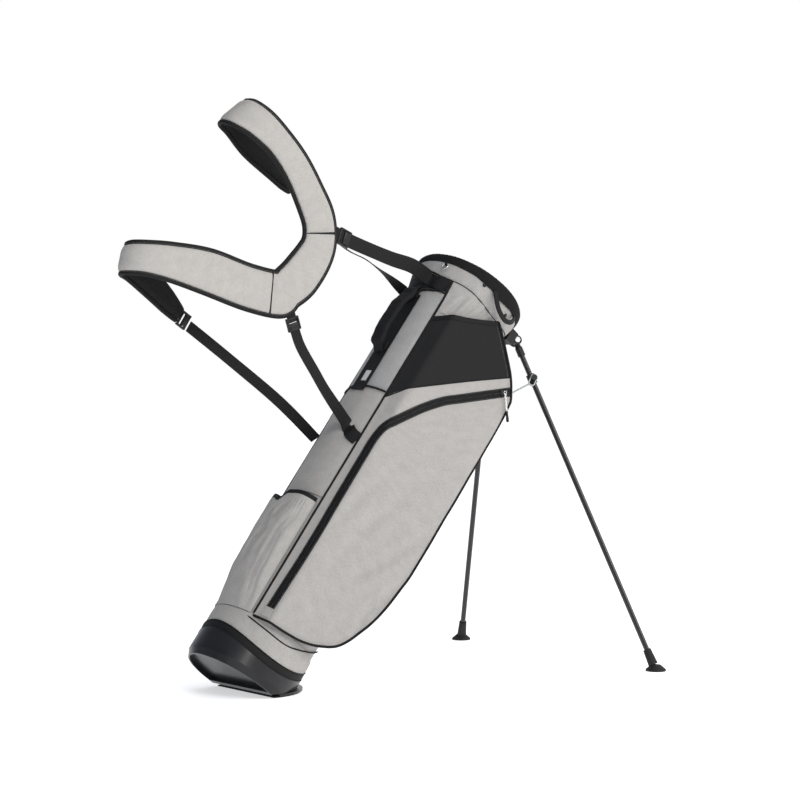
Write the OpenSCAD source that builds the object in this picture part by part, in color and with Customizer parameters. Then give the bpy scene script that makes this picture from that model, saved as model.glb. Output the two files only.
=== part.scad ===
// Stand bag for golf clubs: a leaning tube on a hinged foot plate and two folding legs,
// with pockets on both flanks and a double shoulder harness. Millimetres, Z up, origin on
// the ground under the foot plate's hinge. The bag leans towards +X; its left side is -Y.

/* [Overall] */
// Lean of the bag from upright when it stands on its legs, degrees
lean = 38; // [32:1:42]
// Length of the bag from its base to the top of the rim
bag_len = 865; // [700:1:1040]
// Outer radius of the body tube
tube_r = 94; // [80:1:114]
// Wall of the body tube
tube_wall = 3; // [2:0.5:4]

/* [Base] */
// Height of the base cup at the flanks
cup_side = 32; // [26:1:40]
// Rise of the cup's edge from the flanks to the front and the spine
cup_rise = 29; // [20:1:36]
// How far the lowest point of the cup's edge lies behind the tube's axis
cup_shift = 18; // [0:1:20]
// Wall of the base cup
cup_wall = 2.8; // [2:0.2:4]
// Height of the cup's floor above its lower edge
floor_up = 8; // [6:1:12]
// Thickness of the cup's floor
floor_t = 3; // [2:0.5:4]
// Distance of the plate hinge in front of the tube's axis
hinge_back = 27; // [20:1:34]
// Height of the plate hinge above the ground
hinge_up = 8; // [7.6:0.2:10]
// Radius of the plate's hinge pin
hinge_pin_r = 2.5; // [2:0.1:3]
// Radius of the hinge knuckles
knuckle_r = 5.4; // [4.8:0.1:6]
// Length of the foot plate in front of its hinge
plate_len = 98; // [94:1:118]
// Thickness of the foot plate
plate_t = 4; // [3:0.5:4.5]
// Thickness of the rubber tread under the plate
tread_t = 2; // [1.5:0.5:3]

/* [Legs] */
// Where the feet stand, forward of the plate hinge
foot_x = 720; // [640:5:800]
// Where the feet stand, sideways from the middle
foot_y = 273; // [220:1:330]
// Depth of the leg pivots below the top of the rim
pivot_down = 26; // [24:0.2:30]
// Distance of the leg pivots in front of the tube's surface
pivot_out = 29.8; // [28:0.2:34]
// Distance of the leg pivots from the middle plane
pivot_side = 36; // [34:1:42]
// Radius of the leg tubes
leg_r = 5; // [4.5:0.1:6]
// Wall of the leg tubes
leg_wall = 0.9; // [0.6:0.1:1.5]
// Radius of the pivot pins
pivot_pin_r = 3; // [2.5:0.1:3.5]
// Radius of the rubber foot's sole
sole_r = 18.5; // [15:0.5:24]

/* [Opening linkage] */
// Distance of the collar below the leg pivot
collar_down = 78; // [70:1:90]
// Distance of the push bar below the top of the rim
bar_down = 242.6; // [230:0.2:280]
// Radius of the push rod
rod_r = 2; // [1.5:0.1:2.5]
// Radius of the spreader wires
wire_r = 1.5; // [1.2:0.1:2]

/* [Pockets] */
// How far the long flank pocket stands out of the tube
pocket_depth = 91; // [70:1:110]
// Height of the long pocket's lower end above the base
pocket_low = 90; // [86:1:130]
// How far the ball pocket on the other flank stands out
ball_depth = 60; // [40:1:75]
// Length of the ball pocket
ball_len = 300; // [220:5:340]
// Height of the bottle pocket's mouth above the base
bottle_top = 334; // [260:1:360]
// Thickness of the fabric panels
cloth_t = 1.5; // [1:0.1:2]

/* [Top] */
// Height of the moulded cuff
cuff_h = 50; // [48:1:64]
// How far the cuff flares out from the tube
cuff_flare = 10; // [9:0.5:14]
// Radius of the soft rim's section
rim_r = 9; // [8:0.2:10]
// Thickness of the divider's bars
divider_t = 9; // [6:0.5:12]

/* [Harness] */
// Thickness of the shoulder pads
pad_t = 13; // [9:0.5:16]
// Thickness of the webbing
web_t = 2; // [1.6:0.1:3]
// Width of the wide webbing
web_w = 25; // [20:1:30]

/* [Hidden] */
$fn = 72;
gap = 0.3;
run = 0.05;
eps = 0.01;
far = 2000;

cup_r = tube_r + 0.2 + cup_wall;
plate_top = tread_t + plate_t;
plate_gap = 1;
shell_top = bag_len - 22;
cuff_top = bag_len - 14;
cuff_low = cuff_top - cuff_h + 4;
band_low = 96;
face_r = tube_r + gap + cloth_t;
rod_n = tube_r + 5.5;
pivot_n = tube_r + pivot_out;
pivot_s = bag_len - pivot_down;
bar_s = bag_len - bar_down;
trim_h = 15;
bar_h = 26;

// Flank pocket: where its walls leave the tube and where its face runs, as angles from
// the front of the bag
pocket_back_deg = 143;
pocket_edge_deg = 123.7;
pocket_edge_out = 14;
pocket_front_deg = 51.4;
pocket_root_deg = 37;
edge_round = 5;

// ---- helpers -------------------------------------------------------------------

function unit(v) = v / norm(v);
function polar(deg, r) = [r * cos(deg), -r * sin(deg)];
function polar3(deg, r, s) = [r * cos(deg), -r * sin(deg), s];

// Ground frame to bag frame and back: in the bag frame X points to the front (the
// ground side), Z runs up the tube's axis from the base
function to_bag(w) = let (d = w - [0, 0, hinge_up])
  [hinge_back + d.x * cos(lean) - d.z * sin(lean), d.y,
   hinge_up + d.x * sin(lean) + d.z * cos(lean)];
function to_ground(p) = let (n = p.x - hinge_back, s = p.z - hinge_up)
  [n * cos(lean) + s * sin(lean), p.y, hinge_up - n * sin(lean) + s * cos(lean)];

module in_bag()
  translate(to_ground([0, 0, 0])) rotate([0, lean, 0]) children();

// Puts children into the frame with these axes
module place(o, x, y, z)
  multmatrix([[x.x, y.x, z.x, o.x], [x.y, y.y, z.y, o.y], [x.z, y.z, z.z, o.z],
              [0, 0, 0, 1]]) children();

// A rod between two points
module rod(p, q, r) {
  z = unit(q - p);
  x = unit(cross(abs(z.x) < 0.9 ? [1, 0, 0] : [0, 1, 0], z));
  place(p, x, cross(z, x), z) cylinder(r = r, h = norm(q - p), $fn = 24);
}

module ring(r_out, r_in, h)
  difference() {
    cylinder(r = r_out, h = h);
    translate([0, 0, -1]) cylinder(r = r_in, h = h + 2);
  }

// A piece of tube wall between two angles from the front, counted towards the left side
module wall_sector(r_in, r_out, low, high, from_deg, to_deg)
  rotate([0, 0, -to_deg]) rotate_extrude(angle = to_deg - from_deg)
    translate([r_in, low]) square([r_out - r_in, high - low]);

// A smooth curve through the values v, with k steps between two of them
function smooth(v, k = 3) = let (n = len(v) - 1) concat(
  [for (i = [0 : n - 1], j = [0 : k - 1])
    let (a = v[max(i - 1, 0)], b = v[i], c = v[i + 1], d = v[min(i + 2, n)], t = j / k)
    b + (c - a) * (t / 2) + (a * 2 - b * 5 + c * 4 - d) * (t * t / 2)
      + (b * 3 - a - c * 3 + d) * (t * t * t / 2)],
  [v[n]]);

// Flat strap swept through points p0, with its width w0[i] along d0[i]
function turn(p, i) = unit(p[min(i + 1, len(p) - 1)] - p[max(i - 1, 0)]);
module ribbon(p0, d0, w0, t) {
  p = smooth(p0);
  d = smooth([for (v = d0) unit(v)]);
  w = smooth(w0);
  n = len(p);
  pts = [for (i = [0 : n - 1])
    let (a = turn(p, i), k = unit(d[i]), h = k * w[i] / 2, m = unit(cross(a, k)) * t / 2)
    each [p[i] - h - m, p[i] + h - m, p[i] + h + m, p[i] - h + m]];
  faces = concat([[0, 1, 2], [0, 2, 3]],
    [[4 * n - 4, 4 * n - 2, 4 * n - 3], [4 * n - 4, 4 * n - 1, 4 * n - 2]],
    [for (i = [0 : n - 2], j = [0 : 3]) let (a = 4 * i + j, b = 4 * i + (j + 1) % 4)
      each (j < 2 ? [[a, a + 4, b + 4], [a, b + 4, b]]
                  : [[a, a + 4, b], [b, a + 4, b + 4]])]);
  polyhedron(pts, faces, convexity = 4);
}

// Outline with each corner rounded to r
function corner(a, b, c, r, k = 6) =
  let (u = unit(a - b), v = unit(c - b), half = acos(u * v) / 2, m = unit(u + v),
       o = b + m * r / sin(half), p = b + u * r / tan(half), q = b + v * r / tan(half))
  [for (i = [0 : k]) o + unit((p - o) * (k - i) + (q - o) * i) * r];
function rounded(p, r) = let (n = len(p))
  [for (i = [0 : n - 1]) each corner(p[(i + n - 1) % n], p[i], p[(i + 1) % n], r)];

// ---- base ----------------------------------------------------------------------

// Everything above the curved edge of height h at the flanks
module above_edge(h) {
  r = (tube_r * tube_r + cup_rise * cup_rise) / (2 * cup_rise);
  translate([-cup_shift, 0, h + r]) rotate([90, 0, 0]) cylinder(r = r, h = 3 * cup_r, center = true,
    $fn = 160);
}

// Everything within k of the ground in front of the hinge, in the bag frame
module near_ground(k)
  rotate([0, -lean, 0]) translate(-to_ground([0, 0, 0]))
    translate([-10, -far / 2, -far / 2]) cube([far, far, far / 2 + k]);

module hinge_knuckle(r, from_y, to_y)
  for (side = [-1, 1])
    translate([hinge_back, side * (from_y + to_y) / 2, hinge_up]) rotate([90, 0, 0])
      cylinder(r = r, h = to_y - from_y, center = true, $fn = 48);

plate_knuckle = [40, 60];
plate_r = 88;
plate_back = 4;
lug_inner = [22, 39.4];
lug_outer = [60.6, 72];

module base_cup()
  color("#202022") in_bag() difference() {
    union() {
      difference() {
        union() {
          cylinder(r1 = cup_r - 6, r2 = cup_r, h = 12);
          translate([0, 0, 12]) cylinder(r = cup_r, h = cup_side + cup_rise + cup_shift + 6);
        }
        above_edge(cup_side);
        near_ground(plate_top + plate_gap);
        difference() {
          translate([0, 0, floor_up + floor_t])
            cylinder(r = tube_r + 0.2, h = cup_side + cup_rise + cup_shift + 20);
          near_ground(plate_top + plate_gap + floor_t);
        }
        difference() {
          translate([0, 0, -1]) cylinder(r = cup_r - 9, h = floor_up + 1);
          translate([hinge_back - 16, -far / 2, -5]) cube([far, far, far]);
        }
        hinge_knuckle(knuckle_r + 0.8, plate_knuckle[0] - 0.6, plate_knuckle[1] + 0.6);
      }
      hinge_knuckle(knuckle_r, lug_inner[0], lug_inner[1]);
      hinge_knuckle(knuckle_r, lug_outer[0], lug_outer[1]);
    }
    hinge_knuckle(hinge_pin_r + run, 0, 90);
  }

// The plate lies flat on the ground: a disc cut off behind its hinge
module plate_outline(inset)
  intersection() {
    translate([plate_len - plate_r, 0]) circle(r = plate_r - inset, $fn = 96);
    translate([inset / 2 - plate_back, -plate_r]) square([3 * plate_r, 2 * plate_r]);
  }

module foot_plate()
  color("#1c1c1e") difference() {
    union() {
      difference() {
        translate([0, 0, tread_t]) linear_extrude(plate_t) plate_outline(0);
        translate([-2 * knuckle_r, -2 * plate_r, -1])
          cube([3.2 * knuckle_r, 4 * plate_r, tread_t + plate_t + 2]);
      }
      for (side = [-1, 1])
        translate([0, side * (plate_knuckle[0] + plate_knuckle[1]) / 2, 0]) {
          translate([0, 0, hinge_up]) rotate([90, 0, 0])
            cylinder(r = knuckle_r, h = plate_knuckle[1] - plate_knuckle[0],
              center = true, $fn = 48);
          translate([0, (plate_knuckle[0] - plate_knuckle[1]) / 2, tread_t + 0.2])
            cube([2 * knuckle_r, plate_knuckle[1] - plate_knuckle[0], plate_t - 0.4]);
        }
    }
    translate([0, 0, hinge_up]) rotate([90, 0, 0])
      cylinder(r = hinge_pin_r + run, h = 4 * plate_r, center = true, $fn = 48);
  }

module foot_tread()
  color("#2a2a2a") difference() {
    linear_extrude(tread_t) plate_outline(3);
    for (i = [1 : 6])
      translate([10 + i * 12, -100, -1]) cube([3, 200, 1 + tread_t / 2]);
  }

module foot_hinge_pin()
  color("silver") in_bag() translate([hinge_back, 0, hinge_up]) rotate([90, 0, 0])
    cylinder(r = hinge_pin_r, h = 2 * lug_outer[1], center = true, $fn = 48);

module base_trim()
  color("#161616") in_bag() difference() {
    intersection() {
      ring(cup_r - 0.6, tube_r + gap, cup_side + cup_rise + cup_shift + trim_h + 6);
      above_edge(cup_side + gap);
    }
    above_edge(cup_side + trim_h);
  }

module lower_band()
  color("#a9a9a8") in_bag() intersection() {
    ring(face_r, tube_r + gap, band_low);
    above_edge(cup_side + trim_h + gap);
  }

// ---- body ----------------------------------------------------------------------

module body_shell()
  color("#a5a5a4") in_bag() difference() {
    translate([0, 0, floor_up + floor_t + gap])
      cylinder(r = tube_r, h = shell_top - floor_up - floor_t - gap);
    cylinder(r = tube_r - tube_wall, h = far);
    near_ground(plate_top + plate_gap + floor_t + gap);
  }

stay_r = 2.5;
stay_low = 24;
stay_top = cuff_top - bar_h - gap;
module stay(side)
  color("#3a3a3a") in_bag()
    translate([0, side * (tube_r - tube_wall - stay_r - gap), stay_low])
      cylinder(r = stay_r, h = stay_top - stay_low, $fn = 24);
module stay_left() stay(-1);
module stay_right() stay(1);

module spine_stay()
  color("#3a3a3a") in_bag()
    translate([-(tube_r - tube_wall - gap - 0.6), -9, stay_low])
      cube([3, 18, stay_top - stay_low]);

module spine_panel()
  color("#a3a3a2") in_bag() wall_sector(tube_r + gap, face_r, bottle_top + 4,
    cuff_low - 2, pocket_back_deg, 360 - pocket_back_deg);

pad_low = 150;
pad_high = bar_s - 100;
module hip_pad()
  color("#2b2b2b") in_bag() difference() {
    wall_sector(tube_r + gap, tube_r + 12, pad_low, pad_high, -22, 22);
    translate([tube_r - 10, -5, pad_low - 1]) cube([19, 10, pad_high]);
  }

// ---- opening linkage -----------------------------------------------------------

// Where the rod's foot meets the top of the plate
rod_low = let (n = rod_n - hinge_back)
  hinge_up + (plate_top + 0.5 - hinge_up + n * sin(lean)) / cos(lean)
    + rod_r * tan(lean);

module rod_guide(s)
  color("#1c1c1e") in_bag() difference() {
    translate([tube_r - 3, -11, s]) cube([13.5, 22, 14]);
    translate([0, 0, s - 1]) cylinder(r = face_r + gap, h = 16);
    translate([rod_n, 0, s - 1]) cylinder(r = rod_r + run, h = 16, $fn = 32);
  }
module rod_guide_lower() rod_guide(band_low + 6);
module rod_guide_upper() rod_guide(bar_s - 86);

module push_rod()
  color("silver") in_bag() translate([rod_n, 0, rod_low])
    cylinder(r = rod_r, h = bar_s - 12 - rod_low, $fn = 32);

// The bar at the rod's head holds the ball ends of the two spreader wires
ball_r = 3.5;
ball_at = [tube_r + 9, -14, bar_s];
module push_bar()
  color("#1c1c1e") in_bag() difference() {
    translate([tube_r + 3, -20, bar_s - 12]) cube([13, 40, 12]);
    for (side = [-1, 1])
      translate([ball_at.x, side * ball_at.y, ball_at.z]) sphere(r = ball_r + run, $fn = 48);
  }

// Leg frame: Z down the leg, Y along the pivot axis towards the bag's middle
pivot = [pivot_n, -pivot_side, pivot_s];
foot_at = to_bag([foot_x, -foot_y, 0]);
leg_len = norm(foot_at - pivot);
leg_z = unit(foot_at - pivot);
leg_y = unit(cross([0, 0, -1], leg_z)) * (cross([0, 0, -1], leg_z).y < 0 ? -1 : 1);
leg_x = cross(leg_y, leg_z);

module mirrored(side) mirror([0, side > 0 ? 1 : 0, 0]) children();
module on_leg(side) in_bag() mirrored(side) place(pivot, leg_x, leg_y, leg_z) children();

// The wire's upper end is a long eye round the collar's stud. The eye gives room for what
// the stud drifts inside it half way, because the rod is driven at a constant ratio.
knob_out = 11;
knob = pivot + leg_z * collar_down - leg_y * knob_out;
stud_r = 2;
drift = [-8.9, 6.1];
eye_in = stud_r + 2.55;
eye_out = eye_in + 2.2;
eye_t = 2.2;
head_gap = 0.9;
module spreader(side) {
  from = over(ball_at, side);
  to = over(knob, side);
  across = over(leg_y, side);
  arm = unit(to - from);
  along = unit(arm - across * (arm * across));
  beside = -side * cross(across, along);
  eye_end = to + along * drift.x + beside * drift.y;
  wire_z = unit(eye_end - from);
  wire_x = unit(cross([0, 1, 0], wire_z));
  color("#8d8f92") in_bag() {
    place(from, wire_x, cross(wire_z, wire_x), wire_z) {
      sphere(r = ball_r, $fn = 48);
      cylinder(r = wire_r, h = norm(eye_end - from) - eye_in - 1, $fn = 24);
    }
    place(to, along, beside, -side * across)
      rotate([0, 0, atan2(drift.y, drift.x)])
        translate([0, 0, -eye_t / 2]) linear_extrude(eye_t) difference() {
          eye_shape(eye_out);
          eye_shape(eye_in);
        }
  }
}
function over(p, side) = [p.x, -side * p.y, p.z];
module eye_shape(r) {
  circle(r = r, $fn = 48);
  translate([norm(drift), 0]) circle(r = r, $fn = 48);
  translate([0, -r]) square([norm(drift), 2 * r]);
}
module spreader_left() spreader(-1);
module spreader_right() spreader(1);

// ---- legs ----------------------------------------------------------------------

ear_t = 4;
tongue = 5.5;
ear_r = 9;
bracket_half = pivot_side + 12;
module leg_bracket() {
  fore = unit([leg_z.x, leg_z.y, 0]);
  color("#1a1a1c") in_bag() difference() {
    union() {
      intersection() {
        translate([0, -bracket_half, pivot_s - 17])
          cube([tube_r + 19, 2 * bracket_half, 25]);
        cylinder(r = tube_r + 30, h = far);
      }
      for (side = [-1, 1], k = [-1, 1])
        mirrored(side) place(pivot, fore, leg_y, [0, 0, 1])
          translate([0, k * (tongue + gap + ear_t / 2), 0]) {
            rotate([90, 0, 0]) cylinder(r = ear_r, h = ear_t, center = true, $fn = 48);
            translate([-16, -ear_t / 2, -ear_r]) cube([16, ear_t, 2 * ear_r]);
          }
    }
    cylinder(r = tube_r + cuff_flare + cloth_t + gap + 0.4, h = far);
    for (side = [-1, 1])
      mirrored(side) place(pivot, fore, leg_y, [0, 0, 1]) {
        rotate([90, 0, 0])
          cylinder(r = pivot_pin_r + 0.02, h = 60, center = true, $fn = 48);
        rotate([90, 0, 0])
          cylinder(r = ear_r + 0.6, h = 2 * (tongue + gap), center = true, $fn = 48);
        translate([-ear_r - 0.6, -tongue - gap, -60]) cube([60, 2 * (tongue + gap), 60]);
      }
  }
}

module pivot_pin(side) {
  reach = tongue + gap + ear_t;
  color("silver") in_bag() mirrored(side) place(pivot, leg_x, leg_y, leg_z)
    rotate([90, 0, 0]) {
      cylinder(r = pivot_pin_r, h = 2 * reach + 1, center = true, $fn = 48);
      for (k = [-1, 1])
        translate([0, 0, k * (reach + 1)])
          cylinder(r = pivot_pin_r + 2.2, h = 1.8, center = true, $fn = 48);
    }
}
module pivot_pin_left() pivot_pin(-1);
module pivot_pin_right() pivot_pin(1);

socket_at = 14;
module leg_top(side)
  color("#1a1a1c") on_leg(side) difference() {
    union() {
      rotate([90, 0, 0]) cylinder(r = 8, h = 2 * tongue, center = true, $fn = 48);
      cylinder(r = tongue - 0.1, h = ear_r + 3, $fn = 48);
      translate([0, 0, ear_r + 2]) cylinder(r1 = tongue - 0.1, r2 = 7, h = 4, $fn = 48);
      translate([0, 0, ear_r + 6]) cylinder(r = 7, h = 16, $fn = 48);
    }
    rotate([90, 0, 0])
      cylinder(r = pivot_pin_r + run, h = 40, center = true, $fn = 48);
    translate([0, 0, socket_at]) cylinder(r = leg_r + 0.02, h = 40, $fn = 48);
  }
module leg_top_left() leg_top(-1);
module leg_top_right() leg_top(1);

foot_h = 14;
module leg_tube(side)
  color("#151515") on_leg(side) translate([0, 0, socket_at + gap])
    ring(leg_r, leg_r - leg_wall, leg_len - foot_h - socket_at - gap);
module leg_tube_left() leg_tube(-1);
module leg_tube_right() leg_tube(1);

module leg_collar(side)
  color("#1a1a1c") on_leg(side) translate([0, 0, collar_down]) difference() {
    union() {
      translate([0, 0, -9]) cylinder(r = leg_r + 3, h = 18, $fn = 48);
      rotate([90, 0, 0]) cylinder(r = stud_r, h = knob_out + wire_r + head_gap, $fn = 32);
      rotate([90, 0, 0]) translate([0, 0, knob_out + wire_r + head_gap])
        cylinder(r = 5.6, h = 2, $fn = 48);
    }
    translate([0, 0, -20]) cylinder(r = leg_r + 0.02, h = 40, $fn = 48);
  }
module leg_collar_left() leg_collar(-1);
module leg_collar_right() leg_collar(1);

module leg_foot(side)
  color("#19191a") difference() {
    union() {
      translate([foot_x, side * foot_y, 0]) {
        cylinder(r = sole_r, h = 3);
        translate([0, 0, 3]) cylinder(r1 = sole_r, r2 = 9, h = 8);
      }
      on_leg(side) translate([0, 0, leg_len - 42]) {
        cylinder(r1 = leg_r + 2.2, r2 = leg_r + 4, h = 30, $fn = 48);
      }
    }
    on_leg(side) translate([0, 0, leg_len - 80])
      cylinder(r = leg_r + 0.02, h = 80 - foot_h, $fn = 48);
  }
module leg_foot_left() leg_foot(-1);
module leg_foot_right() leg_foot(1);

// ---- top -----------------------------------------------------------------------

module top_cuff()
  color("#222224") in_bag() rotate_extrude() polygon([
    [tube_r + gap, cuff_low], [tube_r + 2, cuff_low],
    [tube_r + cuff_flare, cuff_low + 36], [tube_r + cuff_flare, cuff_top],
    [tube_r - 6, cuff_top], [tube_r - 6, shell_top + gap],
    [tube_r + gap, shell_top + gap]]);

module cuff_band()
  color("#a9a9a8") in_bag() rotate_extrude() polygon([
    [tube_r + 2 + gap, cuff_low], [tube_r + 2 + gap + cloth_t, cuff_low],
    [tube_r + cuff_flare + gap + cloth_t, cuff_low + 36],
    [tube_r + cuff_flare + gap + cloth_t, bag_len - 19],
    [tube_r + cuff_flare + gap, bag_len - 19],
    [tube_r + cuff_flare + gap, cuff_low + 36]]);

module rim_pad()
  color("#141414") in_bag() rotate_extrude() difference() {
    translate([tube_r + 5.3, bag_len - rim_r]) circle(r = rim_r, $fn = 48);
    translate([tube_r - 6 - gap, bag_len - 40])
      square([cuff_flare + 6 + 2 * gap, 26 + gap]);
  }

module club_divider()
  color("#1e1e20") in_bag() translate([0, 0, cuff_top - bar_h])
    intersection() {
      union() {
        translate([-tube_r, -divider_t / 2, 0]) cube([2 * tube_r, divider_t, bar_h]);
        translate([-divider_t / 2, -tube_r, 0]) cube([divider_t, 2 * tube_r, bar_h]);
      }
      cylinder(r = tube_r - 6 - 0.1, h = far);
    }

// A fabric wall that keeps the two halves of the tube apart over its whole length
divider_low = hinge_up + (tube_r - tube_wall - hinge_back) * tan(lean) + 10;
module full_divider()
  color("#2c2c2e") in_bag()
    translate([-(tube_r - tube_wall - 5), -0.8, divider_low])
      cube([2 * tube_r - 2 * tube_wall - 8, 1.6, cuff_top - bar_h - gap - divider_low]);

lift_deg = [64, 99];
lift_low = bag_len - 53;
module lift_handle()
  color("#1a1a1c") in_bag() {
    wall_sector(tube_r + 24, tube_r + 27, lift_low, lift_low + 22, lift_deg[0],
      lift_deg[1]);
    for (a = lift_deg)
      rotate([0, 0, -a]) translate([tube_r + cuff_flare + cloth_t + 2 * gap, -2, lift_low])
        cube([26.9 - cuff_flare - cloth_t - 2 * gap, 4, 22]);
  }

// ---- pockets -------------------------------------------------------------------

// Cross-section of the flank pocket: it leaves the tube near the spine, runs out to a
// wide face and comes back to the tube beside the leg
pocket_p = [polar(pocket_back_deg, tube_r - 4), polar(pocket_edge_deg, tube_r + pocket_edge_out),
  polar(pocket_front_deg, tube_r + pocket_depth), polar(pocket_root_deg, tube_r - 4)];
module pocket_section(inset)
  difference() {
    polygon(concat([pocket_p[0]],
      corner(pocket_p[0], pocket_p[1] + [0, inset], pocket_p[2] + [-inset, inset], 6),
      corner(pocket_p[1] + [0, inset], pocket_p[2] + [-inset, inset], pocket_p[3],
        edge_round),
      [pocket_p[3] + [-inset, 0]]));
    circle(r = tube_r + gap);
  }

// Face frame: X across the pocket's face, Y up the bag, Z out of the face
face_x = let (v = unit(pocket_p[2] - pocket_p[1])) [v.x, v.y, 0];
face_z = cross(face_x, [0, 0, 1]);
face_o = [pocket_p[1].x, pocket_p[1].y, 0];
face_w = norm(pocket_p[2] - pocket_p[1]);
module on_face() in_bag() place(face_o, face_x, [0, 0, 1], face_z) children();

// Corners of the pocket's outline on its face
top_s = bag_len;
zip_run = [[face_w - 19, top_s - 164], [62, top_s - 261], [37, top_s - 293],
  [14, top_s - 331], [3, top_s - 370], [2, top_s - 494], [0, top_s - 624],
  [-3, pocket_low + 37]];
module lower_outline()
  polygon(concat([[-60, pocket_low + 14]],
    corner([-60, pocket_low + 14], [75, pocket_low - 2], [132, pocket_low + 30], 40),
    corner([75, pocket_low - 2], [132, pocket_low + 30], [face_w - 20, 210], 40),
    corner([132, pocket_low + 30], [face_w - 20, 210], [face_w - 4, 320], 60),
    [[face_w - 4, 320], [face_w, top_s - 205]],
    [for (i = [0 : 4]) zip_run[i] + [gap, -gap]], [[-60, zip_run[4].y - gap]]));
module yoke_outline()
  polygon(concat([[-60, zip_run[4].y]], [for (i = [4 : -1 : 0]) zip_run[i] + [-gap, gap]],
    [[face_w - 17, top_s - 153], [-60, top_s - 318]]));
module mesh_outline(inset)
  polygon([[-60, top_s - 317.5 + inset], [face_w - 17 - inset, top_s - 152.5 + inset],
    [76 - inset, top_s - 64 + (inset > 0 ? 60 : 0)],
    [-60, top_s - 154 + (inset > 0 ? 60 : 0)]]);

module pouch(inset) {
  difference() {
    intersection() {
      linear_extrude(bag_len) pocket_section(inset);
      place(face_o, face_x, [0, 0, 1], face_z)
        translate([0, 0, -200]) linear_extrude(300) children();
    }
    cylinder(r = face_r + gap, h = band_low + gap);
  }
}

module side_pocket() color("#b0afad") in_bag() pouch(0) lower_outline();
module pocket_yoke() color("#adacaa") in_bag() pouch(0) yoke_outline();
module mesh_pocket()
  color("#111111") in_bag() difference() {
    pouch(0) mesh_outline(0);
    pouch(2) mesh_outline(2);
  }

// Black band of the zip, on the face of the pocket
module stripe(p, w)
  polygon(concat(
    [for (i = [0 : len(p) - 1]) let (d = turn(p, i)) p[i] + [-d.y, d.x] * w / 2],
    [for (i = [len(p) - 1 : -1 : 0]) let (d = turn(p, i)) p[i] - [-d.y, d.x] * w / 2]));
module zip_tape()
  color("#101010") on_face() translate([0, 0, gap]) linear_extrude(1.2)
    stripe(zip_run, 15);

zip_dir = let (v = unit(zip_run[1] - zip_run[0])) v;
slider_at = zip_run[0] + zip_dir * 14;
post_r = 1.2;
module zip_slider()
  color("#26262a") on_face() translate([slider_at.x, slider_at.y, 2 * gap + 1.2])
    rotate([0, 0, atan2(zip_dir.y, zip_dir.x)]) {
      translate([-7, -4.5, 0]) cube([14, 9, 2.6]);
      translate([0, 0, 2]) cylinder(r = post_r, h = 4, $fn = 32);
    }

// The puller hangs from the slider's post by its own weight: an eye, a cord and a tip
module zip_puller() {
  eye = face_o + face_x * slider_at.x + [0, 0, slider_at.y] + face_z * (2 * gap + 6.4);
  down = to_bag([0, 0, 0]) - to_bag([0, 0, 1]);
  hang = unit(down - face_z * (down * face_z));
  color("#e8e8e6") in_bag() {
    place(eye, face_x, [0, 0, 1], face_z) translate([0, 0, -1.8])
      ring(post_r + 1.9, post_r + run, 1.8, $fn = 32);
    rod(eye + hang * 2 - face_z * 0.9, eye + hang * 34 - face_z * 0.9, 1.3);
    rod(eye + hang * 33 - face_z * 0.9, eye + hang * 54 - face_z * 0.9, 2.2);
  }
}

ball_low = 112;
ball_p = [polar(-142, tube_r - 4), polar(-120, tube_r + 12),
  polar(-68, tube_r + ball_depth), polar(-42, tube_r - 4)];
module ball_section(out)
  difference() {
    polygon(concat([ball_p[0]], corner(ball_p[0], ball_p[1], ball_p[2] - [0, out], 8),
      corner(ball_p[1], ball_p[2] - [0, out], ball_p[3], 16), [ball_p[3]]));
    circle(r = tube_r + gap);
  }
module ball_pocket()
  color("#a9a9a8") in_bag() intersection() {
    translate([0, 0, ball_low]) linear_extrude(ball_len) ball_section(0);
    rotate([90, 0, 0]) translate([0, 0, -far / 2]) linear_extrude(far)
      polygon(rounded([[-130, ball_low], [130, ball_low + 20], [130, ball_low + ball_len - 10],
        [-130, ball_low + ball_len]], 40));
  }

far_low = ball_low + ball_len + 14;
module far_pocket()
  color("#a9a9a8") in_bag() translate([0, 0, far_low]) linear_extrude(bag_len - 165 - far_low)
    ball_section(ball_depth / 2);

// Bottle pocket: a gathered pouch round the spine, open at the top
bottle_deg = [147, 217];
bottle_low = 104;
module bottle_pocket() {
  rise = bottle_top - bottle_low;
  color("#9f9f9f") in_bag() {
    rotate([0, 0, -bottle_deg[1]]) rotate_extrude(angle = bottle_deg[1] - bottle_deg[0])
      polygon([[tube_r + gap, bottle_low], [tube_r + 3, bottle_low],
        [tube_r + 15, bottle_low + rise * 0.35], [tube_r + 19, bottle_low + rise * 0.7],
        [tube_r + 16, bottle_top], [tube_r + 14, bottle_top],
        [tube_r + 17, bottle_low + rise * 0.7], [tube_r + 13, bottle_low + rise * 0.36],
        [tube_r + 1, bottle_low + 4], [tube_r + gap, bottle_low + 4]]);
    for (a = [bottle_deg[0], bottle_deg[1] - 1])
      wall_sector(tube_r + gap, tube_r + 14.5, bottle_low + rise * 0.4, bottle_top, a, a + 1);
  }
}

// ---- spine ---------------------------------------------------------------------

module strap_anchor()
  color("#121212") in_bag() wall_sector(face_r + gap, face_r + gap + 2, bag_len - 92,
    cuff_low - 3, 147, 213);

web_deg = [168, 190];
module spine_webbing()
  color("#121212") in_bag() wall_sector(face_r + gap, face_r + gap + 1.6, bag_len - 310,
    bag_len - 94, web_deg[0], web_deg[1]);

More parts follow.
